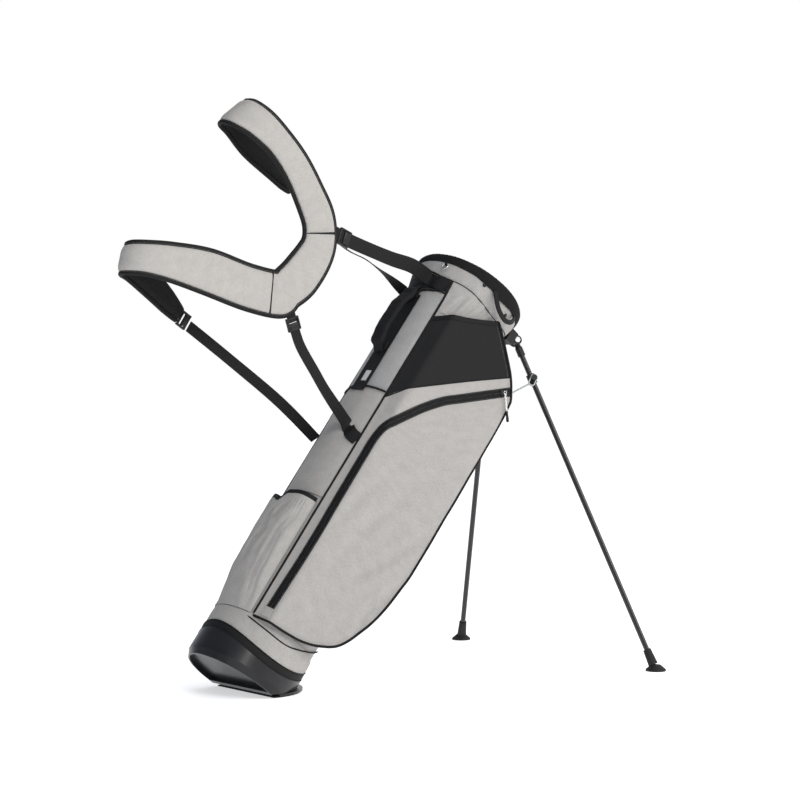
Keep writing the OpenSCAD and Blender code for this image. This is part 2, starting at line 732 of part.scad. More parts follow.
// Padded grip on the spine: an arc that stands off the webbing
grip_s = bag_len - 152;
grip_half = 68;
grip_rise = 15;
grip_bend = (grip_half * grip_half + grip_rise * grip_rise) / (2 * grip_rise);
module carry_handle() {
  sweep = asin(grip_half / grip_bend);
  color("#171717") in_bag() rotate([0, 0, -(web_deg[0] + web_deg[1]) / 2])
    translate([face_r + 2 * gap + 2 + grip_rise - grip_bend, 0, grip_s])
      intersection() {
        rotate([90, 0, 0]) rotate([0, 0, -sweep - 3]) rotate_extrude(angle = 2 * sweep + 6)
          translate([grip_bend, -14]) square([11, 28]);
        translate([grip_bend - grip_rise, -50, -200]) cube([200, 100, 400]);
      }
}

module blank_label()
  color("#d9d9d6") in_bag() wall_sector(face_r + gap + 1.9, face_r + gap + 2.7,
    bag_len - 290, bag_len - 267, 173, 181);

// A tab on the cuff carries a metal ring
tab_deg = 156;
tab_s = bag_len - 25;
ring_out = tube_r + cuff_flare + cloth_t + 6.5;
ring_big = 5.4;
ring_thin = 1.2;
tab_w = 4.4;
tab_eye = ring_thin + 1;
module ring_tab()
  color("#141414") in_bag() rotate([0, 0, -tab_deg])
    translate([ring_out - 6, 0, tab_s]) difference() {
      translate([0, -tab_w / 2, -4]) cube([9.6, tab_w, 10]);
      translate([6, 0, 0]) rotate([90, 0, 0]) cylinder(r = tab_eye, h = 60, center = true,
        $fn = 24);
    }
module gear_ring()
  color("silver") in_bag() rotate([0, 0, -tab_deg]) translate([ring_out, 0, tab_s - ring_big])
    rotate([90, 0, 90]) rotate_extrude() translate([ring_big, 0])
      circle(r = ring_thin, $fn = 24);

// ---- harness -------------------------------------------------------------------

// Harness points are in ground axes, from the top of the spine
spine_top = to_ground([-tube_r, 0, bag_len]);
function hp(v) = spine_top + v;
function anchor(deg, down, out) = to_ground(polar3(deg, tube_r + out, bag_len - down));

yoke_y = -48;
module harness_yoke()
  color("#acacab") translate(spine_top) translate([0, yoke_y + pad_t / 2, 0])
    rotate([90, 0, 0]) linear_extrude(pad_t)
      polygon([[-350, 43], [-354, 0], [-407, -36], [-390, -118], [-361, -100],
        [-277, 8], [-278, 52]]);

module shoulder_pad_upper() {
  p = [[-314, -48, 48.6], [-340, -57, 94], [-374, -63, 142], [-412, -65, 182],
    [-447, -62, 210], [-470, -45, 227], [-472, -20, 230], [-452, -3, 217],
    [-411, 12, 185], [-345, 30, 147], [-302, 40, 117]];
  d = [[72, 0, 9], [64, 0, 20], [58, 0, 25], [53, 0, 30], [55, 0, 38], [61, 0, 45],
    [61, 0, 45], [57, 0, 40], [53, 0, 30], [52, 0, 32], [50, 0, 30]];
  w = [72.6, 68, 64, 62, 68, 74, 72, 64, 60, 54, 44];
  color("#acacab") translate(spine_top) ribbon(p, d, w, pad_t);
}

module shoulder_pad_lower() {
  p = [[-399.5, -48, -77], [-469, -57, -66], [-552, -64, -43], [-622, -64, -29],
    [-667, -58, -23], [-689, -40, -22], [-686, -16, -25], [-655, 2, -36],
    [-600, 22, -70], [-542, 40, -113]];
  d = [[-17, 0, 82], [-3, 0, 83], [8, 0, 82], [6, 0, 66], [8, 0, 57], [10, 0, 56],
    [14, 0, 54], [25, 0, 48], [27, 0, 42], [30, 0, 40]];
  w = [83, 82, 80, 68, 60, 58, 56, 54, 48, 36];
  color("#acacab") translate(spine_top) ribbon(p, d, w, pad_t);
}

// Wide strap from the spine's top to the yoke
web_spine_end = anchor(177, 48, 9);
module web_spine() {
  p = [hp([-238, -43, 18]), hp([-196, -38, 7]), hp([-140, -28, -8]), hp([-88, -17, -21]),
    web_spine_end];
  d = [[0.4, 0, 0.9], [0.4, -0.1, 0.9], [0.35, -0.4, 0.8], [0.2, -0.8, 0.5], [0, -1, 0]];
  color("#121212") ribbon(p, d, [web_w, web_w, web_w, web_w, web_w + 6], web_t);
}
// Narrow strap from the yoke's lower corner to the left seam
module web_flank() {
  p = [hp([-358, -47, -144]), hp([-349, -46, -169]), hp([-296, -45, -244]),
    anchor(153, 403, 6)];
  d = [[0.9, 0, 0.35], [0.9, 0, 0.45], [0.8, 0.2, 0.5], [0.6, 0.6, 0.45]];
  color("#121212") ribbon(p, d, [20, 20, 20, 20], web_t);
}
// Strap from the lower pad to the right flank
module web_lower() {
  p = [hp([-522, 42, -131]), hp([-440, 43, -186]), hp([-330, 46, -262]),
    anchor(212, 411, 5)];
  d = [[0.55, 0, 0.83], [0.55, 0, 0.83], [0.5, -0.2, 0.8], [0.4, -0.6, 0.6]];
  color("#121212") ribbon(p, d, [20, 20, 20, 20], web_t);
}
// Strap from the upper pad to the top of the right flank
module web_upper() {
  p = [hp([-296, 41, 113]), hp([-196, 45, 20]), hp([-126, 47, -12]), anchor(212, 75, 6)];
  d = [[0.5, 0, 0.8], [0.3, 0, 0.9], [0.3, 0, 0.9], [0.2, -0.5, 0.7]];
  color("#121212") ribbon(p, d, [25, 20, 20, 20], web_t);
}

module buckle_body(o, along, up, len, w) {
  x = unit(along);
  z = unit(cross(x, up));
  place(o, x, cross(z, x), z) difference() {
    translate([-len / 2, -w / 2, -4]) cube([len, w, 8]);
    translate([len / 2 - 9, -w / 2 + 4, -5]) cube([4, w - 8, 10]);
  }
}
module buckle_spine()
  color("#0e0e0e") buckle_body(hp([-256, -45, 24]), [-0.92, -0.02, 0.4], [0.4, 0, 0.9], 26, 30);
module buckle_flank()
  color("#0e0e0e") buckle_body(hp([-367, -47, -127]), [-0.5, -0.02, 0.85], [0.85, 0, 0.5], 24,
    26);
module adjuster_lower()
  color("#0e0e0e") buckle_body(hp([-533, 41, -121]), [-0.8, 0, 0.55], [0.55, 0, 0.83], 20, 28);

// ---- assembly ------------------------------------------------------------------
base_cup();
foot_plate();
foot_tread();
foot_hinge_pin();
body_shell();
stay_left();
stay_right();
spine_stay();
base_trim();
lower_band();
spine_panel();
hip_pad();
rod_guide_lower();
rod_guide_upper();
push_rod();
push_bar();
spreader_left();
spreader_right();
leg_bracket();
pivot_pin_left();
pivot_pin_right();
leg_tube_left();
leg_tube_right();
leg_top_left();
leg_top_right();
leg_collar_left();
leg_collar_right();
leg_foot_left();
leg_foot_right();
top_cuff();
cuff_band();
rim_pad();
club_divider();
full_divider();
side_pocket();
pocket_yoke();
mesh_pocket();
zip_tape();
zip_slider();
zip_puller();
ball_pocket();
far_pocket();
bottle_pocket();
strap_anchor();
spine_webbing();
carry_handle();
blank_label();
ring_tab();
gear_ring();
lift_handle();
harness_yoke();
shoulder_pad_upper();
shoulder_pad_lower();
web_spine();
web_flank();
web_lower();
web_upper();
buckle_spine();
buckle_flank();
adjuster_lower();
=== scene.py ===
import math

import bmesh
import bpy
import numpy as np
from mathutils import Matrix, Vector, noise


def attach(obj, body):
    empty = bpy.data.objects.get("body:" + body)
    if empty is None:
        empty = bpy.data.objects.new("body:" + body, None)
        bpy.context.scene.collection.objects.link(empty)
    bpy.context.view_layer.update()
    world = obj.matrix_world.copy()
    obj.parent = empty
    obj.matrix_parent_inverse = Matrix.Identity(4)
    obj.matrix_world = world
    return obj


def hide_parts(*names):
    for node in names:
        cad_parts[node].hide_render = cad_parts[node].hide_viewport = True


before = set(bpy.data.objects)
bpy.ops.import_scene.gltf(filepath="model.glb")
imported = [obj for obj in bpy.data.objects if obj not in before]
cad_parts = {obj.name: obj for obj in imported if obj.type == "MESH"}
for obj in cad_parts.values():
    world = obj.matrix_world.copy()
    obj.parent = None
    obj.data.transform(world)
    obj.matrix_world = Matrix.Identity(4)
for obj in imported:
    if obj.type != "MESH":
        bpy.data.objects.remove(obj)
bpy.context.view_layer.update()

MM = 0.001

# ---- the bag's own frame: n to the front, y to the right, s up the tube, millimetres
LEAN = math.radians(38)
HINGE_BACK, HINGE_UP = 27.0, 8.0
TUBE_R, BAG_LEN, CUFF_FLARE = 94.0, 865.0, 10.0
PANEL_R = 96.0
CUP_SIDE, CUP_RISE, CUP_SHIFT, TRIM_H, BAND_TOP = 32.0, 29.0, 18.0, 15.0, 97.0
SHELL_TOP, CUFF_LOW, CUFF_TOP = BAG_LEN - 22, BAG_LEN - 60, BAG_LEN - 14
SPINE_LEFT, SPINE_RIGHT = 143.0, 217.0
SPINE_SEAM, BOTTLE_TOP, BOTTLE_LOW = 564.0, 334.0, 99.0


def bag(n, y, s):
    dn, ds = n - HINGE_BACK, s - HINGE_UP
    return Vector((
        dn * math.cos(LEAN) + ds * math.sin(LEAN),
        y,
        HINGE_UP - dn * math.sin(LEAN) + ds * math.cos(LEAN),
    )) * MM


def tube(deg, r, s):
    a = math.radians(deg)
    return bag(r * math.cos(a), -r * math.sin(a), s)


# ---- camera ----------------------------------------------------------------------
AIM = Vector((0.3387, 0.0, 0.4960))
EYE = Vector((-2.0852, -2.9896, 0.5833))
lens_data = bpy.data.cameras.new("camera")
lens_data.lens = 95.64
lens_data.sensor_width = 36.0
lens_data.clip_end = 100.0
camera = bpy.data.objects.new("camera", lens_data)
camera.location = EYE
camera.rotation_euler = (AIM - EYE).to_track_quat("-Z", "Y").to_euler()
bpy.context.scene.collection.objects.link(camera)
bpy.context.scene.camera = camera


# ---- curves ----------------------------------------------------------------------
def lerp(a, b, t):
    return a + (b - a) * t


def smooth(points, step):
    """A Catmull-Rom curve through the points, cut into equal steps of about that length."""
    p = [np.array(q, float) for q in points]
    fine = []
    for i in range(len(p) - 1):
        a, b, c, d = p[max(i - 1, 0)], p[i], p[i + 1], p[min(i + 2, len(p) - 1)]
        for k in range(16):
            t = k / 16
            fine.append(
                b + (c - a) * t / 2 + (2 * a - 5 * b + 4 * c - d) * t * t / 2
                + (3 * b - a - 3 * c + d) * t ** 3 / 2
            )
    fine.append(p[-1])
    return resample(fine, step)


def resample(points, step):
    p = np.array(points, float)
    run = np.concatenate([[0], np.cumsum(np.linalg.norm(np.diff(p, axis=0), axis=1))])
    n = max(2, int(round(run[-1] / step)) + 1)
    at = np.linspace(0, run[-1], n)
    return np.stack([np.interp(at, run, p[:, k]) for k in range(p.shape[1])], axis=1)


def table_at(table, x):
    """Linear look-up in a list of (x, y)."""
    xs, ys = zip(*table)
    return float(np.interp(x, xs, ys))


def soft_table(table, x):
    """Look-up in a list of (x, y) with smooth steps between its points."""
    for (x0, y0), (x1, y1) in zip(table, table[1:]):
        if x <= x1:
            t = min(max((x - x0) / (x1 - x0), 0), 1)
            return lerp(y0, y1, t * t * (3 - 2 * t))
    return table[-1][1]


def shifted(points, by):
    """A flat curve moved sideways, to its right when by is above 0."""
    p = np.array(points, float)
    t = np.gradient(p, axis=0)
    t /= np.linalg.norm(t, axis=1)[:, None]
    return p + np.stack([t[:, 1], -t[:, 0]], axis=1) * by


def line_distance(x, y, line):
    """Distance from a flat point to a polyline, and how far along it the nearest point is."""
    best, where, q = 1e9, 0.0, np.array([x, y], float)
    for i, (a, b) in enumerate(zip(line, line[1:])):
        a, b = np.array(a, float), np.array(b, float)
        t = min(max(float((q - a) @ (b - a) / ((b - a) @ (b - a))), 0), 1)
        d = float(np.linalg.norm(a + (b - a) * t - q))
        if d < best:
            best, where = d, (i + t) / (len(line) - 1)
    return best, where


def fold(x, y, line, width, depth):
    """A soft valley along a line with a low ridge beside it, fading at both ends."""
    d, t = line_distance(x, y, line)
    fade = math.sin(math.pi * min(max(0.08 + 0.84 * t, 0), 1)) ** 0.7
    return fade * depth * (
        0.45 * math.exp(-((d - 1.9 * width) / width) ** 2) - math.exp(-((d / width) ** 2))
    )


def ripple(x, y, z, size):
    return noise.noise(Vector((x, y, z)) / size)


# ---- meshes ----------------------------------------------------------------------
def finish_mesh(name, verts, faces, uvs, mats, mat_of, body, smooth_shade=True):
    me = bpy.data.meshes.new(name)
    me.from_pydata([tuple(v) for v in verts], [], faces)
    layer = me.uv_layers.new(name="cloth")
    for poly, uv in zip(me.polygons, uvs):
        for li, (a, b) in zip(poly.loop_indices, uv):
            layer.data[li].uv = (a, b)
    for m in mats:
        me.materials.append(m)
    for poly, k in zip(me.polygons, mat_of):
        poly.material_index = k
        poly.use_smooth = smooth_shade
    bm = bmesh.new()
    bm.from_mesh(me)
    bmesh.ops.recalc_face_normals(bm, faces=bm.faces)
    bm.to_mesh(me)
    bm.free()
    obj = bpy.data.objects.new(name, me)
    bpy.context.scene.collection.objects.link(obj)
    if body:
        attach(obj, body)
    return obj


def loft(name, loops, mats, body="bag", ring=False, mat_at=None, sharp=35):
    """A closed solid through equal loops of points. ring joins the last loop to the first;
    else both ends get a cap. mat_at(i, j) picks the material of a face."""
    mats = mats if isinstance(mats, (list, tuple)) else [mats]
    n, m = len(loops), len(loops[0])
    pts = np.array([[tuple(p) for p in loop] for loop in loops], float)
    across = np.linalg.norm(np.roll(pts, -1, axis=1) - pts, axis=2).mean(axis=0)
    u = np.concatenate([[0], np.cumsum(across)])
    along = np.linalg.norm(np.roll(pts, -1, axis=0) - pts, axis=2).mean(axis=1)
    v = np.concatenate([[0], np.cumsum(along)])
    verts = pts.reshape(-1, 3)
    faces, uvs, mat_of = [], [], []
    for i in range(n if ring else n - 1):
        k = (i + 1) % n
        for j in range(m):
            q = (j + 1) % m
            faces.append((i * m + j, i * m + q, k * m + q, k * m + j))
            uvs.append(((u[j], v[i]), (u[j + 1], v[i]), (u[j + 1], v[i + 1]), (u[j], v[i + 1])))
            mat_of.append(mat_at(i, j) if mat_at else 0)
    if not ring:
        for i, order in ((0, 1), (n - 1, -1)):
            loop = [i * m + j for j in range(m)][::order]
            faces.append(tuple(loop))
            uvs.append(tuple((u[j % m], v[i]) for j in range(m)))
            mat_of.append(mat_at(min(i, n - 2), 0) if mat_at else 0)
    obj = finish_mesh(name, verts, faces, uvs, mats, mat_of, body)
    obj.data.set_sharp_from_angle(angle=math.radians(sharp))
    return obj


def frames(points, hint=None):
    """Tangent, side and normal along a path. hint gives the side's direction."""
    p = [Vector(q) for q in points]
    out, side = [], None
    for i, q in enumerate(p):
        t = (p[min(i + 1, len(p) - 1)] - p[max(i - 1, 0)]).normalized()
        if hint is not None:
            side = Vector(hint[i])
        elif side is None:
            side = Vector((0, 0, 1)) if abs(t.z) < 0.9 else Vector((1, 0, 0))
        side = (side - t * side.dot(t)).normalized()
        out.append((q, t, side.copy(), t.cross(side)))
    return out


def sweep(name, points, radius, mat, body="bag", sides=10, flat=1.0, hint=None, ends=0.35):
    """A round or flattened cord along points in metres; radius in millimetres."""
    loops = []
    for i, (q, t, a, b) in enumerate(frames(points, hint)):
        r = (radius[i] if hasattr(radius, "__len__") else radius) * MM
        if i in (0, len(points) - 1):
            r *= ends
        loops.append([
            q + a * r * math.cos(2 * math.pi * k / sides)
            + b * r * flat * math.sin(2 * math.pi * k / sides) for k in range(sides)
        ])
    return loft(name, loops, mat, body, sharp=60)


def oval(width, thick, square, count=20):
    """A flat oval section: square near 0 gives a box, 1 an ellipse."""
    out = []
    for k in range(count):
        a = 2 * math.pi * (k + 0.5) / count
        c, s = math.cos(a), math.sin(a)
        out.append((
            math.copysign(abs(c) ** square, c) * width / 2,
            math.copysign(abs(s) ** square, s) * thick / 2,
        ))
    return out


def strap(name, points, sides, widths, thick, mat, body="bag", square=0.3, count=16):
    """Webbing along points in metres, its width along sides, sizes in millimetres."""
    loops = []
    for i, (q, t, a, b) in enumerate(frames(points, sides)):
        w = widths[i] if hasattr(widths, "__len__") else widths
        h = thick[i] if hasattr(thick, "__len__") else thick
        loops.append([q + a * x * MM + b * y * MM for x, y in oval(w, h, square, count)])
    return loft(name, loops, mat, body, sharp=50)


def stitches(name, points, mat, body="bag", pitch=3.4, long=2.2, r=0.32, up=None):
    """A row of short threads along points in metres."""
    p = resample([tuple(q) for q in points], pitch * MM)
    verts, faces, uvs = [], [], []
    for i in range(len(p) - 1):
        mid, t = (p[i] + p[i + 1]) / 2, (p[i + 1] - p[i])
        t = Vector(t).normalized()
        a = t.cross(Vector((0, 0, 1)) if abs(t.z) < 0.9 else Vector((1, 0, 0))).normalized()
        b = t.cross(a)
        base = len(verts)
        for end, k in ((-0.5, 0.5), (-0.3, 1), (0.3, 1), (0.5, 0.5)):
            for j in range(6):
                ang = math.pi * j / 3
                verts.append(Vector(mid) + t * end * long * MM
                             + (a * math.cos(ang) + b * math.sin(ang)) * r * k * MM)
        for e in range(3):
            for j in range(6):
                q = (j + 1) % 6
                faces.append((base + e * 6 + j, base + e * 6 + q,
                              base + e * 6 + 6 + q, base + e * 6 + 6 + j))
                uvs.append(((0, 0),) * 4)
        faces.append(tuple(base + j for j in range(6))[::-1])
        faces.append(tuple(base + 18 + j for j in range(6)))
        uvs += [((0, 0),) * 6] * 2
    return finish_mesh(name, verts, faces, uvs, [mat], [0] * len(faces), body)


def block(name, centre, half, axes, bevel, mat, body="bag", segments=3):
    """A box with rounded edges; axes are its three directions, sizes in millimetres."""
    bm = bmesh.new()
    bmesh.ops.create_cube(bm, size=2)
    for v in bm.verts:
        v.co = Vector(v.co[k] * half[k] for k in range(3))
    bmesh.ops.bevel(bm, geom=bm.edges[:], offset=bevel, segments=segments,
                    profile=0.5, affect="EDGES")
    turn = Matrix([Vector(a).normalized() for a in axes]).transposed()
    for v in bm.verts:
        v.co = Vector(centre) + turn @ v.co * MM
    return from_bmesh(name, bm, mat, body)


def from_bmesh(name, bm, mat, body, smooth_shade=True):
    bmesh.ops.recalc_face_normals(bm, faces=bm.faces)
    me = bpy.data.meshes.new(name)
    bm.to_mesh(me)
    bm.free()
    layer = me.uv_layers.new(name="cloth")
    for loop in me.loops:
        co = me.vertices[loop.vertex_index].co
        layer.data[loop.index].uv = (co.x + co.y, co.z)
    me.materials.append(mat)
    for poly in me.polygons:
        poly.use_smooth = smooth_shade
    me.set_sharp_from_angle(angle=math.radians(40))
    obj = bpy.data.objects.new(name, me)
    bpy.context.scene.collection.objects.link(obj)
    if body:
        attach(obj, body)
    return obj


def lathe(name, profile, centre, axis, mat, body, count=40):
    """A turned piece: profile is (radius, height) along axis, millimetres."""
    axis = Vector(axis).normalized()
    a = axis.cross(Vector((0, 1, 0)) if abs(axis.y) < 0.9 else Vector((1, 0, 0))).normalized()
    b = axis.cross(a)
    loops = [[
        Vector(centre) + (a * math.cos(2 * math.pi * k / count)
                          + b * math.sin(2 * math.pi * k / count)) * r * MM + axis * h * MM
        for k in range(count)] for r, h in profile]
    return loft(name, loops, mat, body, sharp=40)


# ---- materials -------------------------------------------------------------------
def fabric_nodes(name, source="cloth"):
    mat = bpy.data.materials.new(name)
    mat.use_nodes = True
    nt = mat.node_tree
    shader = nt.nodes["Principled BSDF"]
    if source == "object":
        tex = nt.nodes.new("ShaderNodeTexCoord").outputs["Object"]
    else:
        uv = nt.nodes.new("ShaderNodeUVMap")
        uv.uv_map = source
        tex = uv.outputs["UV"]
    return mat, nt, shader, tex


def scaled(nt, vec, size):
    node = nt.nodes.new("ShaderNodeMapping")
    node.inputs["Scale"].default_value = size
    nt.links.new(vec, node.inputs["Vector"])
    return node.outputs["Vector"]


def noise_of(nt, vec, scale, detail=3.0, rough=0.55):
    node = nt.nodes.new("ShaderNodeTexNoise")
    node.inputs["Scale"].default_value = scale
    node.inputs["Detail"].default_value = detail
    node.inputs["Roughness"].default_value = rough
    nt.links.new(vec, node.inputs["Vector"])
    return node.outputs["Fac"]


def ramp(nt, fac, stops):
    node = nt.nodes.new("ShaderNodeValToRGB")
    for k, (at, c) in enumerate(stops):
        e = node.color_ramp.elements[k] if k < 2 else node.color_ramp.elements.new(at)
        e.position = at
        e.color = (*c, 1.0)
    nt.links.new(fac, node.inputs["Fac"])
    return node.outputs["Color"]


def math_of(nt, op, a, b):
    node = nt.nodes.new("ShaderNodeMath")
    node.operation = op
    for k, x in enumerate((a, b)):
        if isinstance(x, (int, float)):
            node.inputs[k].default_value = x
        else:
            nt.links.new(x, node.inputs[k])
    return node.outputs["Value"]


def bump_of(nt, shader, height, strength, distance, after=None):
    node = nt.nodes.new("ShaderNodeBump")
    node.inputs["Strength"].default_value = strength
    node.inputs["Distance"].default_value = distance
    nt.links.new(height, node.inputs["Height"])
    if after is not None:
        nt.links.new(after, node.inputs["Normal"])
    nt.links.new(node.outputs["Normal"], shader.inputs["Normal"])
    return node.outputs["Normal"]


def heather(name, light, dark, source="cloth"):
    """Grey melange cloth: fine threads both ways over soft blotches."""
    mat, nt, shader, tex = fabric_nodes(name, source)
    pale = light[0] > 0.1
    warp = noise_of(nt, scaled(nt, tex, (2400, 260, 260)), 1.0, 2.0, 0.6)
    weft = noise_of(nt, scaled(nt, tex, (300, 2100, 2100)), 1.0, 2.0, 0.6)
    blotch = noise_of(nt, tex, 55.0, 4.0, 0.6)
    mixed = math_of(nt, "ADD", math_of(nt, "MULTIPLY", warp, 0.42),
                    math_of(nt, "MULTIPLY", weft, 0.40))
    mixed = math_of(nt, "ADD", mixed, math_of(nt, "MULTIPLY", blotch, 0.18))
    nt.links.new(ramp(nt, mixed, ((0.36, dark), (0.64, light))), shader.inputs["Base Color"])
    shader.inputs["Roughness"].default_value = 0.86
    shader.inputs["Sheen Weight"].default_value = 0.05 if pale else 0.0
    shader.inputs["Sheen Roughness"].default_value = 0.5
    shader.inputs["Specular IOR Level"].default_value = 0.15 if pale else 0.1
    weave = math_of(nt, "ADD", warp, weft)
    first = bump_of(nt, shader, weave, 0.35, 0.00025)
    bump_of(nt, shader, noise_of(nt, tex, 26.0, 3.0, 0.5), 0.25, 0.0022, first)
    return mat


def net(name, hole, low, high, source="cloth", rough=0.75):
    """Spacer mesh: rows of small holes."""
    mat, nt, shader, tex = fabric_nodes(name, source)
    cells = nt.nodes.new("ShaderNodeTexVoronoi")
    cells.inputs["Scale"].default_value = 1.0
    cells.inputs["Randomness"].default_value = 0.12
    nt.links.new(scaled(nt, tex, (hole, hole, hole)), cells.inputs["Vector"])
    d = cells.outputs["Distance"]
    nt.links.new(ramp(nt, d, ((0.18, low), (0.42, high))), shader.inputs["Base Color"])
    shader.inputs["Roughness"].default_value = rough
    shader.inputs["Specular IOR Level"].default_value = 0.1
    bump_of(nt, shader, d, 0.8, 0.0006)
    return mat


def webbing(name, low, high, source="cloth"):
    """Woven strap: ribs across and fine streaks of threads."""
    mat, nt, shader, tex = fabric_nodes(name, source)
    ribs = nt.nodes.new("ShaderNodeTexWave")
    ribs.bands_direction = "Y"
    ribs.inputs["Scale"].default_value = 1.0
    ribs.inputs["Distortion"].default_value = 0.6
    nt.links.new(scaled(nt, tex, (300, 190, 190)), ribs.inputs["Vector"])
    thread = noise_of(nt, scaled(nt, tex, (1800, 500, 500)), 1.0, 2.0, 0.5)
    nt.links.new(ramp(nt, math_of(nt, "MULTIPLY", thread, ribs.outputs["Fac"]),
                      ((0.1, low), (0.7, high))), shader.inputs["Base Color"])
    shader.inputs["Roughness"].default_value = 0.62
    shader.inputs["Specular IOR Level"].default_value = 0.14
    bump_of(nt, shader, ribs.outputs["Fac"], 0.5, 0.0004)
    return mat


def moulded(name, low, high, rough, grain=900.0, depth=0.00012, metal=0.0, coat=0.0,
            edge=0.0007, gloss=0.22, source="object"):
    """Moulded or painted hard surface with a fine grain and softened edges."""
    mat, nt, shader, tex = fabric_nodes(name, source)
    speck = noise_of(nt, tex, grain, 3.0, 0.6)
    wear = noise_of(nt, tex, 24.0, 4.0, 0.6)
    nt.links.new(ramp(nt, wear, ((0.3, low), (0.75, high))), shader.inputs["Base Color"])
    r = nt.nodes.new("ShaderNodeMapRange")
    r.inputs["To Min"].default_value = rough - 0.07
    r.inputs["To Max"].default_value = rough + 0.09
    nt.links.new(wear, r.inputs["Value"])
    nt.links.new(r.outputs["Result"], shader.inputs["Roughness"])
    shader.inputs["Metallic"].default_value = metal
    shader.inputs["Specular IOR Level"].default_value = gloss
    shader.inputs["Coat Weight"].default_value = coat
    shader.inputs["Coat Roughness"].default_value = 0.12
    soft = nt.nodes.new("ShaderNodeBevel")
    soft.samples = 4
    soft.inputs["Radius"].default_value = edge
    bump_of(nt, shader, speck, 0.3, depth, soft.outputs["Normal"])
    return mat


GREY = heather("heather_grey", (0.43, 0.413, 0.396), (0.262, 0.252, 0.240))
GREY_TOP = heather("heather_grey_upper", (0.42, 0.405, 0.39), (0.25, 0.241, 0.232))
# a darker, cooler copy of the grey cloth: painted shade for the spine above its seam, which faces away from
# the lamps
GREY_PAINTED_SHADE = heather("heather_grey_spine_painted_shade", (0.40, 0.395, 0.39), (0.24, 0.238, 0.236))
FOAM = heather("rim_cloth", (0.016, 0.016, 0.017), (0.006, 0.006, 0.006))
BLACK_CLOTH = heather("black_cloth", (0.019, 0.019, 0.020), (0.007, 0.007, 0.008))
LINING = heather("lining_cloth", (0.075, 0.075, 0.080), (0.035, 0.035, 0.038))
BINDING = webbing("binding_tape", (0.004, 0.004, 0.004), (0.022, 0.022, 0.023))
WEB = webbing("strap_webbing", (0.004, 0.004, 0.004), (0.026, 0.026, 0.028))
MESH = net("pocket_mesh", 620, (0.002, 0.002, 0.002), (0.024, 0.024, 0.025))
SPACER = net("spacer_mesh", 420, (0.002, 0.002, 0.002), (0.017, 0.017, 0.018))
PIPING = webbing("piping_cord", (0.004, 0.004, 0.004), (0.016, 0.016, 0.017))
PLASTIC = moulded("moulded_black", (0.010, 0.010, 0.011), (0.017, 0.017, 0.018), 0.34)
CUP_PLASTIC = moulded("cup_black", (0.011, 0.011, 0.012), (0.019, 0.019, 0.021), 0.30,
                      coat=0.12)
RUBBER = moulded("rubber_black", (0.010, 0.010, 0.010), (0.018, 0.018, 0.018), 0.58, 1600.0,
                 0.0002)
STEEL = moulded("bright_steel", (0.52, 0.52, 0.53), (0.68, 0.68, 0.69), 0.26, 700.0, 0.00004,
                metal=1.0, edge=0.0003)
WIRE = moulded("grey_wire", (0.26, 0.27, 0.28), (0.36, 0.37, 0.38), 0.36, 800.0, 0.00004,
               metal=0.75, edge=0.0003)
PAINT = moulded("leg_paint", (0.009, 0.009, 0.010), (0.014, 0.014, 0.015), 0.16, 600.0,
                0.00003, coat=0.5)
COIL = moulded("zip_coil", (0.008, 0.008, 0.009), (0.020, 0.020, 0.021), 0.33)
TAPE = webbing("zip_tape_cloth", (0.004, 0.004, 0.004), (0.015, 0.015, 0.016))
LABEL = heather("label_cloth", (0.60, 0.595, 0.58), (0.44, 0.435, 0.42))
CORD = heather("cord_white", (0.82, 0.81, 0.79), (0.58, 0.575, 0.56))
THREAD = heather("thread_black", (0.020, 0.020, 0.020), (0.008, 0.008, 0.008))
THREAD_GREY = heather("thread_grey", (0.40, 0.39, 0.38), (0.22, 0.215, 0.21))
ROD = moulded("stay_fibre", (0.035, 0.035, 0.037), (0.055, 0.055, 0.058), 0.5)


# ---- light, floor and sky --------------------------------------------------------
def white_world():
    world = bpy.data.worlds.new("sky")
    bpy.context.scene.world = world
    world.use_nodes = True
    nt = world.node_tree
    view = nt.nodes.new("ShaderNodeTexCoord").outputs["Generated"]
    side = nt.nodes.new("ShaderNodeVectorMath")
    side.operation = "DOT_PRODUCT"
    side.inputs[1].default_value = Vector((-0.88, 0.42, 0.22)).normalized()
    nt.links.new(view, side.inputs[0])
    sky = ramp(nt, side.outputs["Value"], ((0.0, (1.0, 1.0, 1.0)), (0.25, (0.62, 0.66, 0.74)),
                                            (0.75, (0.10, 0.125, 0.17))))
    # the bluish side only lights the bag: the backdrop itself is white
    seen = nt.nodes.new("ShaderNodeMix")
    seen.data_type = "RGBA"
    seen.inputs[7].default_value = (1.0, 1.0, 1.0, 1.0)
    nt.links.new(nt.nodes.new("ShaderNodeLightPath").outputs["Is Camera Ray"], seen.inputs[0])
    nt.links.new(sky, seen.inputs[6])
    nt.links.new(seen.outputs[2], nt.nodes["Background"].inputs["Color"])


def soft_light(name, at, size, power, colour):
    data = bpy.data.lights.new(name, "AREA")
    data.shape = "DISK"
    data.size = size
    data.energy = power
    data.color = colour
    obj = bpy.data.objects.new(name, data)
    obj.location = at
    obj.rotation_euler = (AIM - Vector(at)).to_track_quat("-Z", "Y").to_euler()
    bpy.context.scene.collection.objects.link(obj)


white_world()
soft_light("key", (-0.9, -3.2, 2.9), 1.5, 56, (1.0, 0.98, 0.95))
soft_light("side", (1.9, -3.0, 1.8), 1.4, 29, (1.0, 0.985, 0.96))
bpy.context.scene.view_settings.view_transform = "Standard"


